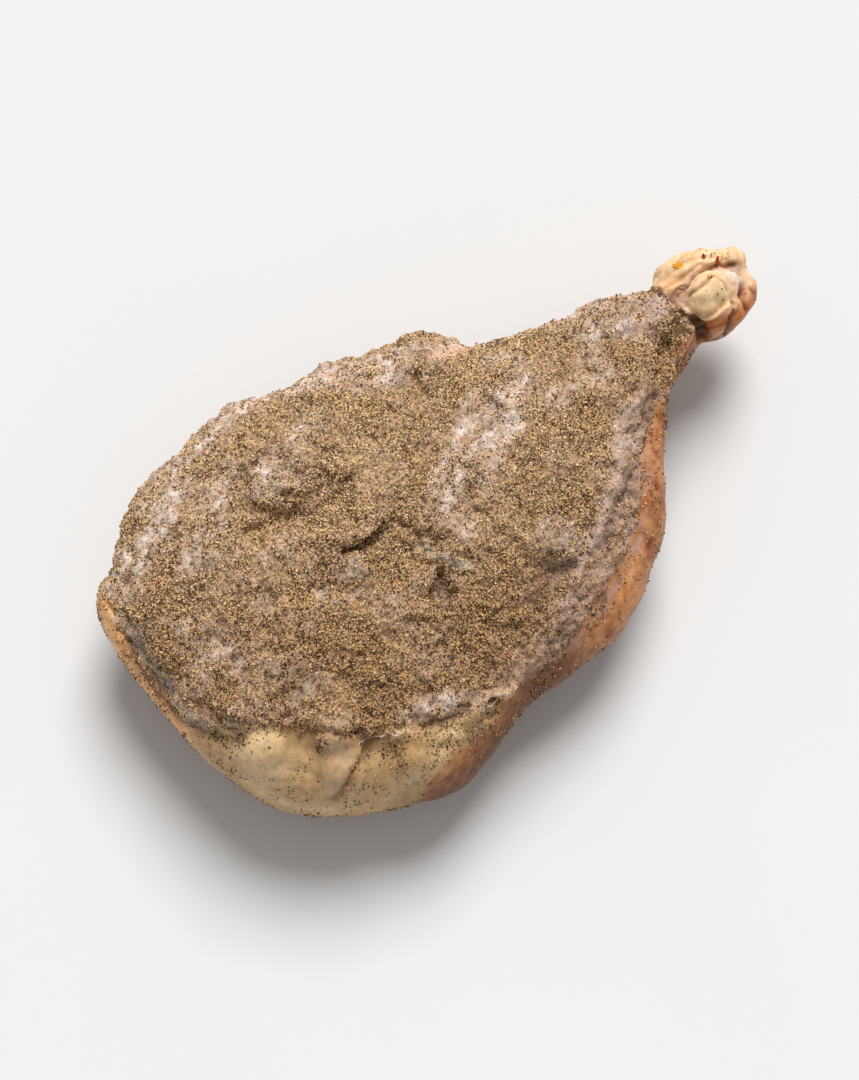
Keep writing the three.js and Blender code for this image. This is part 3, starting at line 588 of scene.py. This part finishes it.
def surface_relief(points, zones, folds, hock_folds):
    """How far the surface swells out at each point, in millimetres."""
    face, fat, hock = zones["face"], zones["fat"], zones["hock"]
    skin = unit(1.0 - face - fat - hock)
    forms = {
        "lumps": layered_noise(points, 15.0, 61),
        "crumbs": layered_noise(points, 4.5, 71, 2),
        "fibres": 1.0 - 2.0 * np.abs(layered_noise(along_muscles(points), 6.5, 81, 2)),
        "wrinkles": 1.0 - 2.0 * np.abs(layered_noise(along_muscles(points, -18.0), 5.0, 91, 2)),
        "crags": 0.5 - 2.0 * np.abs(layered_noise(points, 13.0, 65, 4)),
        "ledges": smoothstep(layered_noise(points, 21.0, 67, 4), -0.09, 0.09) - 0.5,
        "scales": smoothstep(layered_noise(points, 10.0, 68, 3), -0.12, 0.12) - 0.5,
    }
    torn = np.exp(-((zones["face_depth"] - 9.0) / 11.0) ** 2) * (points[:, 1] < -20.0)
    relief = face * (mixed_forms(forms, FACE_FORMS) - FACE_SINK)
    relief += FIBRES * face * forms["fibres"] * (0.4 + zones["bloom"])
    relief += face * torn * mixed_forms(forms, TORN_FORMS)
    relief += fat * mixed_forms(forms, FAT_FORMS)
    relief += skin * mixed_forms(forms, SKIN_FORMS)
    relief += hock * mixed_forms(forms, HOCK_FORMS)
    lip = np.exp(-((zones["face_depth"] - 2.5) / 3.0) ** 2)
    relief += face * lip * FACE_LIP * (1.0 + lattice_noise(points, 7.0, 101))
    upward = smoothstep(points[:, 2], 50.0, 70.0)
    for route, width, depth in folds:
        relief -= upward * (1.0 - hock) * depth * (1.0 + 0.3 * forms["lumps"]) * band(points, route, width)
    for route, width, depth in hock_folds:
        relief -= depth * band(points, route, width)
    return relief


def near_side_shade(points):
    """How far a point lies towards the near side and the shank, from 0 to 1: the share of painted shade
    there.
    """
    turn = math.radians(-CAMERA_AZIMUTH)
    away = points[:, 0] * math.sin(turn) + points[:, 1] * math.cos(turn)
    near = 0.6 * (1.0 - smoothstep(away, -150.0, -20.0))
    near += 0.6 * (1.0 - smoothstep(points[:, 1], -140.0, 60.0))
    return unit(near + 0.35 * smoothstep(points[:, 0], 70.0, 160.0))


def mixed_colour(colours, tone, share):
    return colours + (np.array(tone) - colours) * unit(share)[:, None]


def layered_colour(base, layers):
    """A base colour with others mixed in one after another, each by its share at every point."""
    colours = np.tile(np.array(base), (len(layers[0][1]), 1))
    for tone, share in layers:
        colours = mixed_colour(colours, tone, share)
    return colours


def surface_colour(points, zones, tints, hock_tints):
    """The colour of the surface under the pepper at each point, with painted shade low down, on the near side
    and in creases and hollows, and painted light on a few lobes.
    """
    broad = layered_noise(points, 40.0, 131)
    mottle = layered_noise(points, 8.0, 141)
    fine = layered_noise(points, 3.0, 151, 2)
    # painted shade: the rind and the fat darker towards the floor
    low = 1.0 - smoothstep(points[:, 2] + 8.0 * mottle, *PAINTED_SHADE_Z)
    near_face = np.exp(-(np.minimum(zones["face_depth"], 0.0) / 8.0) ** 2)
    near_face *= smoothstep(points[:, 0], -60.0, -20.0) * (1.0 - smoothstep(points[:, 0], 80.0, 130.0))
    colours = layered_colour(SKIN, [
        (SKIN_DEEP, 0.45 + 0.7 * broad + 0.6 * mottle + 0.5 * fine),
        (LILAC, near_face * (0.25 + 0.9 * zones["streaks"])),
        (PAINTED_SKIN_SHADE, 0.85 * low),
    ])
    fat = layered_colour(FAT_TONE, [
        (FAT_DEEP, 0.35 + 0.6 * broad + 0.25 * mottle),
        (FAT_DARK_AND_SHADE, 0.70 * low + 0.15 * fine),
    ])
    colours += (fat - colours) * zones["fat"][:, None]

    hock = layered_colour(HOCK, [
        (CREAM, 0.35 + 0.8 * mottle),
        (PEACH, 0.12 + 0.6 * layered_noise(points, 12.0, 145) + 0.35 * fine),
    ])
    for route, width, tone, strength in hock_tints:
        hock = mixed_colour(hock, tone, strength * (1.0 + 0.4 * fine) * band(points, route, width))
    # painted shade: the hock darker towards the floor
    hock = mixed_colour(hock, PAINTED_RED_SHADE, 0.8 * (1.0 - smoothstep(points[:, 2], 40.0, 66.0)))
    colours += (hock - colours) * zones["hock"][:, None]

    near = near_side_shade(points)
    meat = layered_colour(MEAT, [
        (LILAC, 0.15 + 0.8 * mottle),
        # darker under thick pepper, partly painted shade between the grains
        (MEAT_DEEP_AND_SHADE, 0.20 + 0.60 * zones["clumps"] + 0.35 * zones["streaks"]),
        # painted shade: meat darker, and its bloom dimmer, towards the near side and the shank
        (MEAT_DEEP_AND_SHADE, 0.10 + 0.45 * near),
        (SALT, zones["bloom"] * (0.95 + 0.5 * fine) * (1.0 - 0.35 * near)),
        (LILAC, 0.7 * zones["bare"] * (0.9 + 0.8 * zones["streaks"])),
    ])
    colours += (meat - colours) * zones["face"][:, None]
    for route, width, tone, strength in tints:
        share = strength * (1.0 + 0.35 * fine) * band(points, route, width)
        colours = mixed_colour(colours, tone, share * (1.0 - zones["hock"]))
    return unit(colours)


def vectors(items, name):
    """One vector of each item of a mesh, as rows."""
    flat = np.empty(len(items) * 3)
    items.foreach_get(name, flat)
    return flat.reshape(-1, 3)


def new_object(name, data):
    thing = bpy.data.objects.new(name, data)
    bpy.context.scene.collection.objects.link(thing)
    return thing


def apply_modifiers(thing):
    """Make the object's modifiers part of its mesh."""
    graph = bpy.context.evaluated_depsgraph_get()
    mesh = bpy.data.meshes.new_from_object(thing.evaluated_get(graph))
    thing.modifiers.clear()
    thing.data = mesh


def refine(mesh, offset):
    """Halve the faces of the hock and of the hip crease, where the folds are finest."""
    shape = bmesh.new()
    shape.from_mesh(mesh)
    finest = []
    for low, high in FINE_BOXES:
        least = Vector((np.array(low) + offset) * MM)
        most = Vector((np.array(high) + offset) * MM)
        finest += [edge for edge in shape.edges
                   if all(least[k] < end.co[k] < most[k] for end in edge.verts for k in range(3))]
    bmesh.ops.subdivide_edges(shape, edges=finest, cuts=1, use_grid_fill=True, smooth=0.6)
    shape.to_mesh(mesh)
    shape.free()


def even_and_soften(thing, steps):
    """Give the object one closed skin of even faces and smooth it."""
    remesh = thing.modifiers.new("even faces", "REMESH")
    remesh.mode = "VOXEL"
    remesh.voxel_size = VOXEL * MM
    smooth = thing.modifiers.new("soften", "SMOOTH")
    smooth.factor = 0.5
    smooth.iterations = steps
    apply_modifiers(thing)


def roll_centres(tree, route, radius, proud, offset):
    """Centres of a roll's spheres, sunk so that they stand proud of the surface by the height given."""
    for place in route_places(route, ROLL_STEP * radius):
        spot, normal, _, _ = tree.find_nearest(Vector((place + offset) * MM))
        yield np.array(spot + normal * (proud - radius) * MM)


def unit_sphere():
    shape = bmesh.new()
    bmesh.ops.create_icosphere(shape, subdivisions=3, radius=1.0)
    points = np.array([tuple(corner.co) for corner in shape.verts])
    faces = np.array([[corner.index for corner in face.verts] for face in shape.faces])
    shape.free()
    return points, faces


def add_rolls(ham, offset):
    """Add the rolls and beads as spheres that the next even skin joins to the mesh."""
    tree = BVHTree.FromObject(ham, bpy.context.evaluated_depsgraph_get())
    sphere, sphere_faces = unit_sphere()
    points, faces = [], []
    for route, radius, proud in ROLLS:
        for centre in roll_centres(tree, route, radius, proud, offset):
            faces.append(sphere_faces + len(sphere) * len(points))
            points.append(centre + sphere * radius * MM)
    rolls = bpy.data.meshes.new("rolls")
    rolls.from_pydata(np.vstack(points), [], np.vstack(faces))
    shape = bmesh.new()
    shape.from_mesh(ham.data)
    shape.from_mesh(rolls)
    shape.to_mesh(ham.data)
    shape.free()
    bpy.data.meshes.remove(rolls)


def build_ham(node, offset):
    """The leg at fine resolution, with its relief, its colours and its zones as attributes."""
    ham = new_object("ham_leg", node.data.copy())
    ham.data.materials.clear()
    even_and_soften(ham, SMOOTH_STEPS)
    add_rolls(ham, offset)
    even_and_soften(ham, ROLL_SMOOTH_STEPS)
    mesh = ham.data
    refine(mesh, offset)
    points = vectors(mesh.vertices, "co")
    drawn = points / MM - offset
    zones = zones_at(drawn)
    tree = BVHTree.FromObject(ham, bpy.context.evaluated_depsgraph_get())
    laid = [on_surface(tree, bands, offset) for bands in (FOLDS, HOCK_FOLDS, TINTS, HOCK_TINTS)]
    on_floor = smoothstep(drawn[:, 2], 1.0, 12.0)
    swell = surface_relief(drawn, zones, *laid[:2]) * on_floor * MM
    moved = points + vectors(mesh.vertex_normals, "vector") * swell[:, None]
    moved[:, 2] = np.maximum(moved[:, 2], 0.0)
    mesh.vertices.foreach_set("co", moved.ravel())
    mesh.update()
    mesh.shade_smooth()
    for name in ("face", "fat", "hock", "bloom", "bare"):
        layer = mesh.attributes.new(name, "FLOAT", "POINT")
        layer.data.foreach_set("value", zones[name].astype(np.float32))
    # the tint holds the surface's colours together with their painted shade and light
    tint = mesh.color_attributes.new("tint", "FLOAT_COLOR", "POINT")
    colours = np.ones((len(drawn), 4), np.float32)
    colours[:, :3] = surface_colour(drawn, zones, *laid[2:])
    tint.data.foreach_set("color", colours.ravel())
    return ham


def random_turns(rng, count):
    """Random rotation matrices, from random unit quaternions."""
    q = rng.normal(size=(count, 4))
    q /= np.linalg.norm(q, axis=1)[:, None]
    w, axis = q[:, 0, None, None], q[:, 1:]
    square = axis[:, :, None] * axis[:, None, :]
    return (2 * w * w - 1) * np.eye(3) + 2 * square + 2 * w * np.cross(np.eye(3), axis[:, None])


class Surface:
    """The ham's triangles, to scatter grains on and to lay flakes and strands on."""

    def __init__(self, ham, offset):
        mesh = ham.data
        mesh.calc_loop_triangles()
        corners = np.empty(len(mesh.loop_triangles) * 3, np.int64)
        mesh.loop_triangles.foreach_get("vertices", corners)
        self.triangles = corners.reshape(-1, 3)
        self.points = vectors(mesh.vertices, "co")
        self.normals = vectors(mesh.vertex_normals, "vector")
        self.offset = offset
        a, b, c = (self.points[self.triangles[:, k]] for k in range(3))
        self.areas = np.linalg.norm(np.cross(b - a, c - a), axis=1) / 2
        self.centres = (a + b + c) / 3 / MM - offset
        self.tree = BVHTree.FromPolygons(self.points.tolist(), self.triangles.tolist())

    def scatter(self, rng, count, density):
        """Places and normals of count grains, more of them where density is higher."""
        weights = self.areas * density
        chosen = rng.choice(len(weights), size=count, p=weights / weights.sum())
        shares = rng.dirichlet((1.0, 1.0, 1.0), size=count)
        picked = self.triangles[chosen]
        places = (self.points[picked] * shares[:, :, None]).sum(axis=1)
        normals = (self.normals[picked] * shares[:, :, None]).sum(axis=1)
        return places, normals / np.linalg.norm(normals, axis=1)[:, None]

    def nearest(self, place):
        """The surface's point and normal nearest to a place of the drawing frame, in metres."""
        spot, normal, _, _ = self.tree.find_nearest(Vector((np.array(place) + self.offset) * MM))
        return np.array(spot), np.array(normal)


def tone_attribute(mesh, tones):
    mesh.attributes.new("tone", "FLOAT", "POINT").data.foreach_set("value", tones.astype(np.float32))


def grain_mesh(name, rng, places, normals, half, painted_shade):
    """Broken grains as one mesh, each turned and stretched at random and sunk in a little."""
    count = len(places)
    size = (half[0] + (half[1] - half[0]) * rng.random(count) ** GRAIN_SKEW) * MM
    stretch = rng.uniform(0.65, 1.25, (count, 1, 3))
    jitter = rng.normal(0.0, GRAIN_JITTER, (count, len(GRAIN_CORNERS), 3))
    local = (GRAIN_CORNERS + jitter) * stretch * size[:, None, None]
    turned = np.einsum("nij,nkj->nki", random_turns(rng, count), local)
    lift = rng.uniform(*GRAIN_LIFT, count) * size
    points = turned + (places + normals * lift[:, None])[:, None, :]
    faces = GRAIN_FACES[None] + (np.arange(count) * len(GRAIN_CORNERS))[:, None, None]
    mesh = bpy.data.meshes.new(name)
    mesh.from_pydata(points.reshape(-1, 3), [], faces.reshape(-1, 3))
    # painted shade moves the grains on the near side towards their dark colour
    tones = unit(rng.random(count) - GRAIN_PALER + painted_shade)
    tone_attribute(mesh, np.repeat(tones, len(GRAIN_CORNERS)))
    return mesh


def pepper_cover(surface):
    """How thickly the ground pepper lies on each triangle of the face, and off the face."""
    centres = surface.centres
    zones = zones_at(centres)
    cover = zones["face"] * (0.10 + 0.90 * zones["clumps"])
    cover *= 1.0 - BLOOM_WITHOUT * zones["bloom"]
    cover *= 1.0 - zones["bare"]
    speckle = np.clip(0.5 + 2.2 * layered_noise(centres, 13.0, 161), 0.05, 3.0)
    edge = np.exp(-(np.minimum(zones["face_depth"], 0.0) / 14.0) ** 2)
    skin = unit(1.0 - zones["face"] - zones["fat"] - zones["hock"])
    off_face = FAT_COVER * zones["fat"] * (0.5 + 1.6 * edge) + HOCK_COVER * zones["hock"]
    off_face += skin * (SKIN_COVER + SKIN_EDGE_COVER * edge)
    off_face *= speckle * smoothstep(centres[:, 2], 20.0, 60.0)
    return cover, off_face


def build_pepper(surface):
    pieces = []
    cover, off_face = pepper_cover(surface)
    for order, kind in enumerate(PEPPER):
        rng = np.random.default_rng(SEED + order)
        places, normals = surface.scatter(rng, kind["count"], cover + kind["off_face"] * off_face)
        painted_shade = NEAR_PAINTED_SHADE * near_side_shade(places / MM - surface.offset)
        mesh = grain_mesh(kind["name"], rng, places, normals, kind["half"], painted_shade)
        mesh.materials.append(grain_material(kind["name"], *kind["colours"]))
        pieces.append(new_object(kind["name"], mesh))
    return pieces


def flake_points(rng, spot, normal, half_long, half_wide, turn):
    """A thin curled scrap: two rings of uneven corners with a raised middle, as points and faces."""
    corners = FLAKE_CORNERS
    up = normal / np.linalg.norm(normal)
    along = np.cross(up, (-math.sin(turn), math.cos(turn), 0.0))
    along /= np.linalg.norm(along)
    across = np.cross(up, along)
    angles = np.arange(corners) * 2.0 * math.pi / corners
    reach = rng.uniform(0.45, 1.25, corners)
    long = half_long * reach * np.cos(angles)
    wide = half_wide * reach * np.sin(angles)
    curl = 0.25 + 0.10 * half_wide * (long / half_long) ** 2
    ring = spot + MM * (np.outer(long, along) + np.outer(wide, across) + np.outer(curl, up))
    top = ring + MM * FLAKE_THICK * up
    points = np.vstack([ring, top, spot + 0.2 * MM * up, spot + (0.3 + FLAKE_THICK) * MM * up])
    faces = []
    for k in range(corners):
        after = (k + 1) % corners
        faces += [(k, after, corners + after), (k, corners + after, corners + k)]
        faces += [(2 * corners, after, k), (2 * corners + 1, corners + k, corners + after)]
    return points, faces


def joined_mesh(name, parts):
    """One mesh from several lists of points and faces."""
    points, faces, tones = [], [], []
    start = 0
    for part_points, part_faces, tone in parts:
        points.append(part_points)
        faces += [tuple(start + corner for corner in face) for face in part_faces]
        tones.append(np.full(len(part_points), tone))
        start += len(part_points)
    mesh = bpy.data.meshes.new(name)
    mesh.from_pydata(np.vstack(points), [], faces)
    tone_attribute(mesh, np.concatenate(tones))
    return mesh


def build_flakes(surface):
    """Chilli flakes: the larger ones where the photograph shows them, and loose bits over the face."""
    rng = np.random.default_rng(SEED + 31)
    parts = []
    for place, half_long, half_wide, turn, colour in CHILLI_FLAKES:
        spot, normal = surface.nearest(place)
        tone = 0.0 if colour == "red" else 1.0
        parts.append((*flake_points(rng, spot, normal, half_long, half_wide, math.radians(turn)), tone))
    face = zones_at(surface.centres)["face"] * (surface.centres[:, 2] > 90.0)
    for spot, normal in zip(*surface.scatter(rng, LOOSE_FLAKES, face)):
        half = rng.uniform(*LOOSE_FLAKE_HALF)
        turn = rng.uniform(0.0, 2.0 * math.pi)
        tone = float(rng.random() < LOOSE_ORANGE)
        parts.append((*flake_points(rng, spot, normal, half, 0.6 * half, turn), tone))
    mesh = joined_mesh("chilli_flakes", parts)
    mesh.materials.append(grain_material("chilli", CHILLI_RED, CHILLI_ORANGE, 0.35))
    return new_object("chilli_flakes", mesh)


def strand_points(rng, surface, middle, heading):
    """One strand that lies on the surface, tapered at both ends, as points and faces."""
    half = rng.uniform(*STRAND_HALF)
    thick = rng.uniform(*STRAND_THICK)
    bend = rng.normal(0.0, 0.5)
    rings = []
    for t in np.linspace(-1.0, 1.0, STRAND_POINTS):
        turn = heading + bend * t
        ahead = np.array([math.cos(turn), math.sin(turn), 0.0])
        spot, normal = surface.nearest(middle + half * t * ahead)
        side = np.cross(normal, ahead)
        side /= np.linalg.norm(side)
        width = thick * (1.0 - 0.85 * t * t)
        for angle in np.arange(STRAND_SIDES) * 2.0 * math.pi / STRAND_SIDES:
            out = side * math.cos(angle) + normal * (math.sin(angle) + 0.5)
            rings.append(spot + out * width * MM)
    faces = []
    last = (STRAND_POINTS - 1) * STRAND_SIDES
    for a in range(last):
        b = a + 1 if (a + 1) % STRAND_SIDES else a + 1 - STRAND_SIDES
        faces.append((a, b, b + STRAND_SIDES, a + STRAND_SIDES))
    faces.append(tuple(reversed(range(STRAND_SIDES))))
    faces.append(tuple(range(last, last + STRAND_SIDES)))
    return np.array(rings), faces


def build_strands(surface):
    """Torn pale tissue along the edges of the face."""
    rng = np.random.default_rng(SEED + 41)
    parts = []
    for route, count, spread in STRANDS:
        corners = np.array(route, float)
        for _ in range(count):
            leg = rng.integers(len(corners) - 1)
            step = corners[leg + 1] - corners[leg]
            middle = corners[leg] + step * rng.random() + rng.normal(0.0, spread, 3) * (1.0, 1.0, 0.2)
            heading = math.atan2(step[1], step[0]) + rng.normal(0.0, 0.3)
            parts.append((*strand_points(rng, surface, middle, heading), rng.random()))
    mesh = joined_mesh("torn_tissue", parts)
    mesh.shade_smooth()
    mesh.materials.append(grain_material("torn tissue", TISSUE, TISSUE_DEEP, 0.6))
    return new_object("torn_tissue", mesh)


class Shader:
    """Short calls that add nodes to one material."""

    def __init__(self, name):
        self.material = bpy.data.materials.new(name)
        self.material.use_nodes = True
        self.tree = self.material.node_tree
        self.surface = self.tree.nodes["Principled BSDF"]
        self.place = self.tree.nodes.new("ShaderNodeTexCoord").outputs["Object"]

    def put(self, socket, value):
        if isinstance(value, bpy.types.NodeSocket):
            self.tree.links.new(value, socket)
        elif isinstance(value, tuple) and len(value) == 3 and socket.type == "RGBA":
            socket.default_value = (*value, 1.0)
        else:
            socket.default_value = value

    def node(self, kind, settings=None, firsts=(), **inputs):
        """A new node, with its settings, its first inputs in order and others by name."""
        made = self.tree.nodes.new(kind)
        for key, value in (settings or {}).items():
            setattr(made, key, value)
        for index, value in enumerate(firsts):
            self.put(made.inputs[index], value)
        for key, value in inputs.items():
            self.put(made.inputs[key.replace("_", " ")], value)
        return made

    def finished(self, **inputs):
        """The material, with these inputs of its surface set."""
        for key, value in inputs.items():
            self.put(self.surface.inputs[key.replace("_", " ")], value)
        return self.material

    def attribute(self, name, output="Fac"):
        return self.node("ShaderNodeAttribute", {"attribute_name": name}).outputs[output]

    def mix(self, share, first, second, blend="MIX"):
        made = self.node("ShaderNodeMix", {"data_type": "RGBA", "blend_type": blend}, [share])
        self.put(made.inputs[6], first)
        self.put(made.inputs[7], second)
        return made.outputs[2]

    def math(self, operation, *numbers):
        return self.node("ShaderNodeMath", {"operation": operation}, numbers).outputs[0]

    def noise(self, wavelength, detail=3.0, roughness=0.5):
        made = self.node("ShaderNodeTexNoise", Vector=self.place,
                         Scale=1.0 / (wavelength * MM), Detail=detail, Roughness=roughness)
        return made.outputs["Fac"]

    def cells(self, size, output="Color"):
        made = self.node("ShaderNodeTexVoronoi", Vector=self.place, Scale=1.0 / (size * MM))
        return made.outputs[output]

    def between(self, value, low, high, to_low=0.0, to_high=1.0):
        numbers = (value, low, high, to_low, to_high)
        return self.node("ShaderNodeMapRange", {"clamp": True}, numbers).outputs[0]

    def bump(self, height, distance, strength=1.0, normal=None):
        made = self.node("ShaderNodeBump", Height=height, Distance=distance * MM, Strength=strength)
        if normal:
            self.put(made.inputs["Normal"], normal)
        return made.outputs[0]


def ham_material():
    """Skin, fat, hock and cut meat: the tint of each place with its painted shade and light, mottled, with
    pepper dust on the face.
    """
    s = Shader("ham surface")
    face, bloom, bare = s.attribute("face"), s.attribute("bloom"), s.attribute("bare")
    tint = s.attribute("tint", "Color")
    mottle = s.noise(6.0, 4.0, 0.6)
    fine = s.noise(1.7, 3.0, 0.65)
    shade = s.mix(s.between(mottle, 0.32, 0.70), (1.14, 1.12, 1.10), (0.80, 0.76, 0.72))
    bare_surface = s.mix(1.0, tint, shade, "MULTIPLY")
    grit_shade = s.mix(s.between(fine, 0.34, 0.66), (1.30, 1.28, 1.26), (0.62, 0.58, 0.54))
    meat = s.mix(1.0, bare_surface, grit_shade, "MULTIPLY")
    dust_tone = s.between(s.cells(1.3), 0.38, 0.62)
    dust = s.mix(dust_tone, DUST_DARK, DUST_LIGHT)
    clean = s.math("MAXIMUM", s.math("MULTIPLY", bloom, 0.85), bare)
    specks = s.between(s.noise(2.4, 3.0, 0.7), 0.38, 0.60)
    dust_share = s.math("MULTIPLY", specks, s.between(clean, 0.1, 0.9, 0.75, 0.08))
    meat = s.mix(dust_share, meat, dust)
    spots = s.between(s.cells(3.4, "Distance"), 0.09, 0.15, 0.90, 0.0)
    spots = s.math("MULTIPLY", spots, s.between(s.noise(14.0), 0.40, 0.56))
    speckled = s.mix(spots, bare_surface, DARK_SPOT)
    grit = s.bump(s.cells(1.1, "Distance"), 0.4, s.between(face, 0.0, 1.0, 0.06, 0.6))
    wrinkle_strength = s.between(face, 0.0, 1.0, 0.25, 0.7)
    return s.finished(
        Base_Color=s.mix(face, speckled, meat),
        Roughness=s.between(face, 0.0, 1.0, 0.50, 0.80),
        Subsurface_Weight=0.15,
        Subsurface_Radius=(0.006, 0.003, 0.0015),
        Subsurface_Scale=1.0,
        Specular_IOR_Level=0.22,
        Normal=s.bump(s.noise(2.2, 4.0, 0.65), 0.6, wrinkle_strength, grit))


def grain_material(name, light, dark, roughness=0.5):
    s = Shader(name)
    return s.finished(Base_Color=s.mix(s.attribute("tone"), light, dark), Roughness=roughness)


def floor_material():
    s = Shader("floor paper")
    tone = s.between(s.noise(300.0, 2.0), 0.3, 0.7)
    return s.finished(Base_Color=s.mix(tone, *PAPER), Roughness=0.9)


def build_floor():
    signs = [(-1, -1), (1, -1), (1, 1), (-1, 1)]
    corners = [(x * FLOOR_HALF, y * FLOOR_HALF, -FLOOR_GAP) for x, y in signs]
    mesh = bpy.data.meshes.new("floor")
    mesh.from_pydata(corners, [], [(0, 1, 2, 3)])
    mesh.materials.append(floor_material())
    new_object("floor", mesh)


def picture_axes():
    """Unit vectors on the floor: to the picture's right, and away from the camera."""
    turn = math.radians(CAMERA_AZIMUTH)
    return Vector((math.cos(turn), math.sin(turn), 0.0)), Vector((-math.sin(turn), math.cos(turn), 0.0))


def build_camera(offset):
    _, away = picture_axes()
    lift = math.radians(CAMERA_ELEVATION)
    target = (Vector(CAMERA_TARGET) + Vector(offset)) * MM
    back = Vector((0.0, 0.0, math.sin(lift))) - away * math.cos(lift)
    data = bpy.data.cameras.new("camera")
    data.lens = LENS
    data.sensor_width = SENSOR
    camera = new_object("camera", data)
    camera.location = target + back * CAMERA_DISTANCE * MM
    camera.rotation_euler = (target - camera.location).to_track_quat("-Z", "Y").to_euler()
    bpy.context.scene.camera = camera


def build_light():
    """A soft sun from the top of the picture and an even pale sky."""
    right, away = picture_axes()
    height = math.radians(SUN_HEIGHT)
    aside = math.radians(SUN_ASIDE)
    level = away * math.cos(aside) - right * math.sin(aside)
    towards = level * math.cos(height) + Vector((0.0, 0.0, math.sin(height)))
    data = bpy.data.lights.new("sun", "SUN")
    data.energy = SUN_ENERGY
    data.angle = math.radians(SUN_SOFTNESS)
    data.color = (1.0, 0.994, 0.984)
    sun = new_object("sun", data)
    sun.rotation_euler = towards.to_track_quat("Z", "Y").to_euler()
    world = bpy.data.worlds.new("sky")
    world.use_nodes = True
    background = world.node_tree.nodes["Background"]
    background.inputs["Color"].default_value = (1.0, 1.0, 1.0, 1.0)
    background.inputs["Strength"].default_value = SKY
    bpy.context.scene.world = world
    bpy.context.scene.view_settings.view_transform = "Standard"


def main():
    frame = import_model()
    low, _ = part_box("ham")
    offset = np.array([low.x / MM - BUTT_X, low.y / MM - SKIN_SIDE_Y, 0.0])
    ham = build_ham(frame["nodes"]["ham"], offset)
    ham.data.materials.append(ham_material())
    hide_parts("ham")
    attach(ham, "root")
    surface = Surface(ham, offset)
    for piece in build_pepper(surface):
        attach(piece, "root")
    flakes = build_flakes(surface)
    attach(flakes, "root")
    strands = build_strands(surface)
    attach(strands, "root")
    build_floor()
    build_light()
    build_camera(offset)


main()
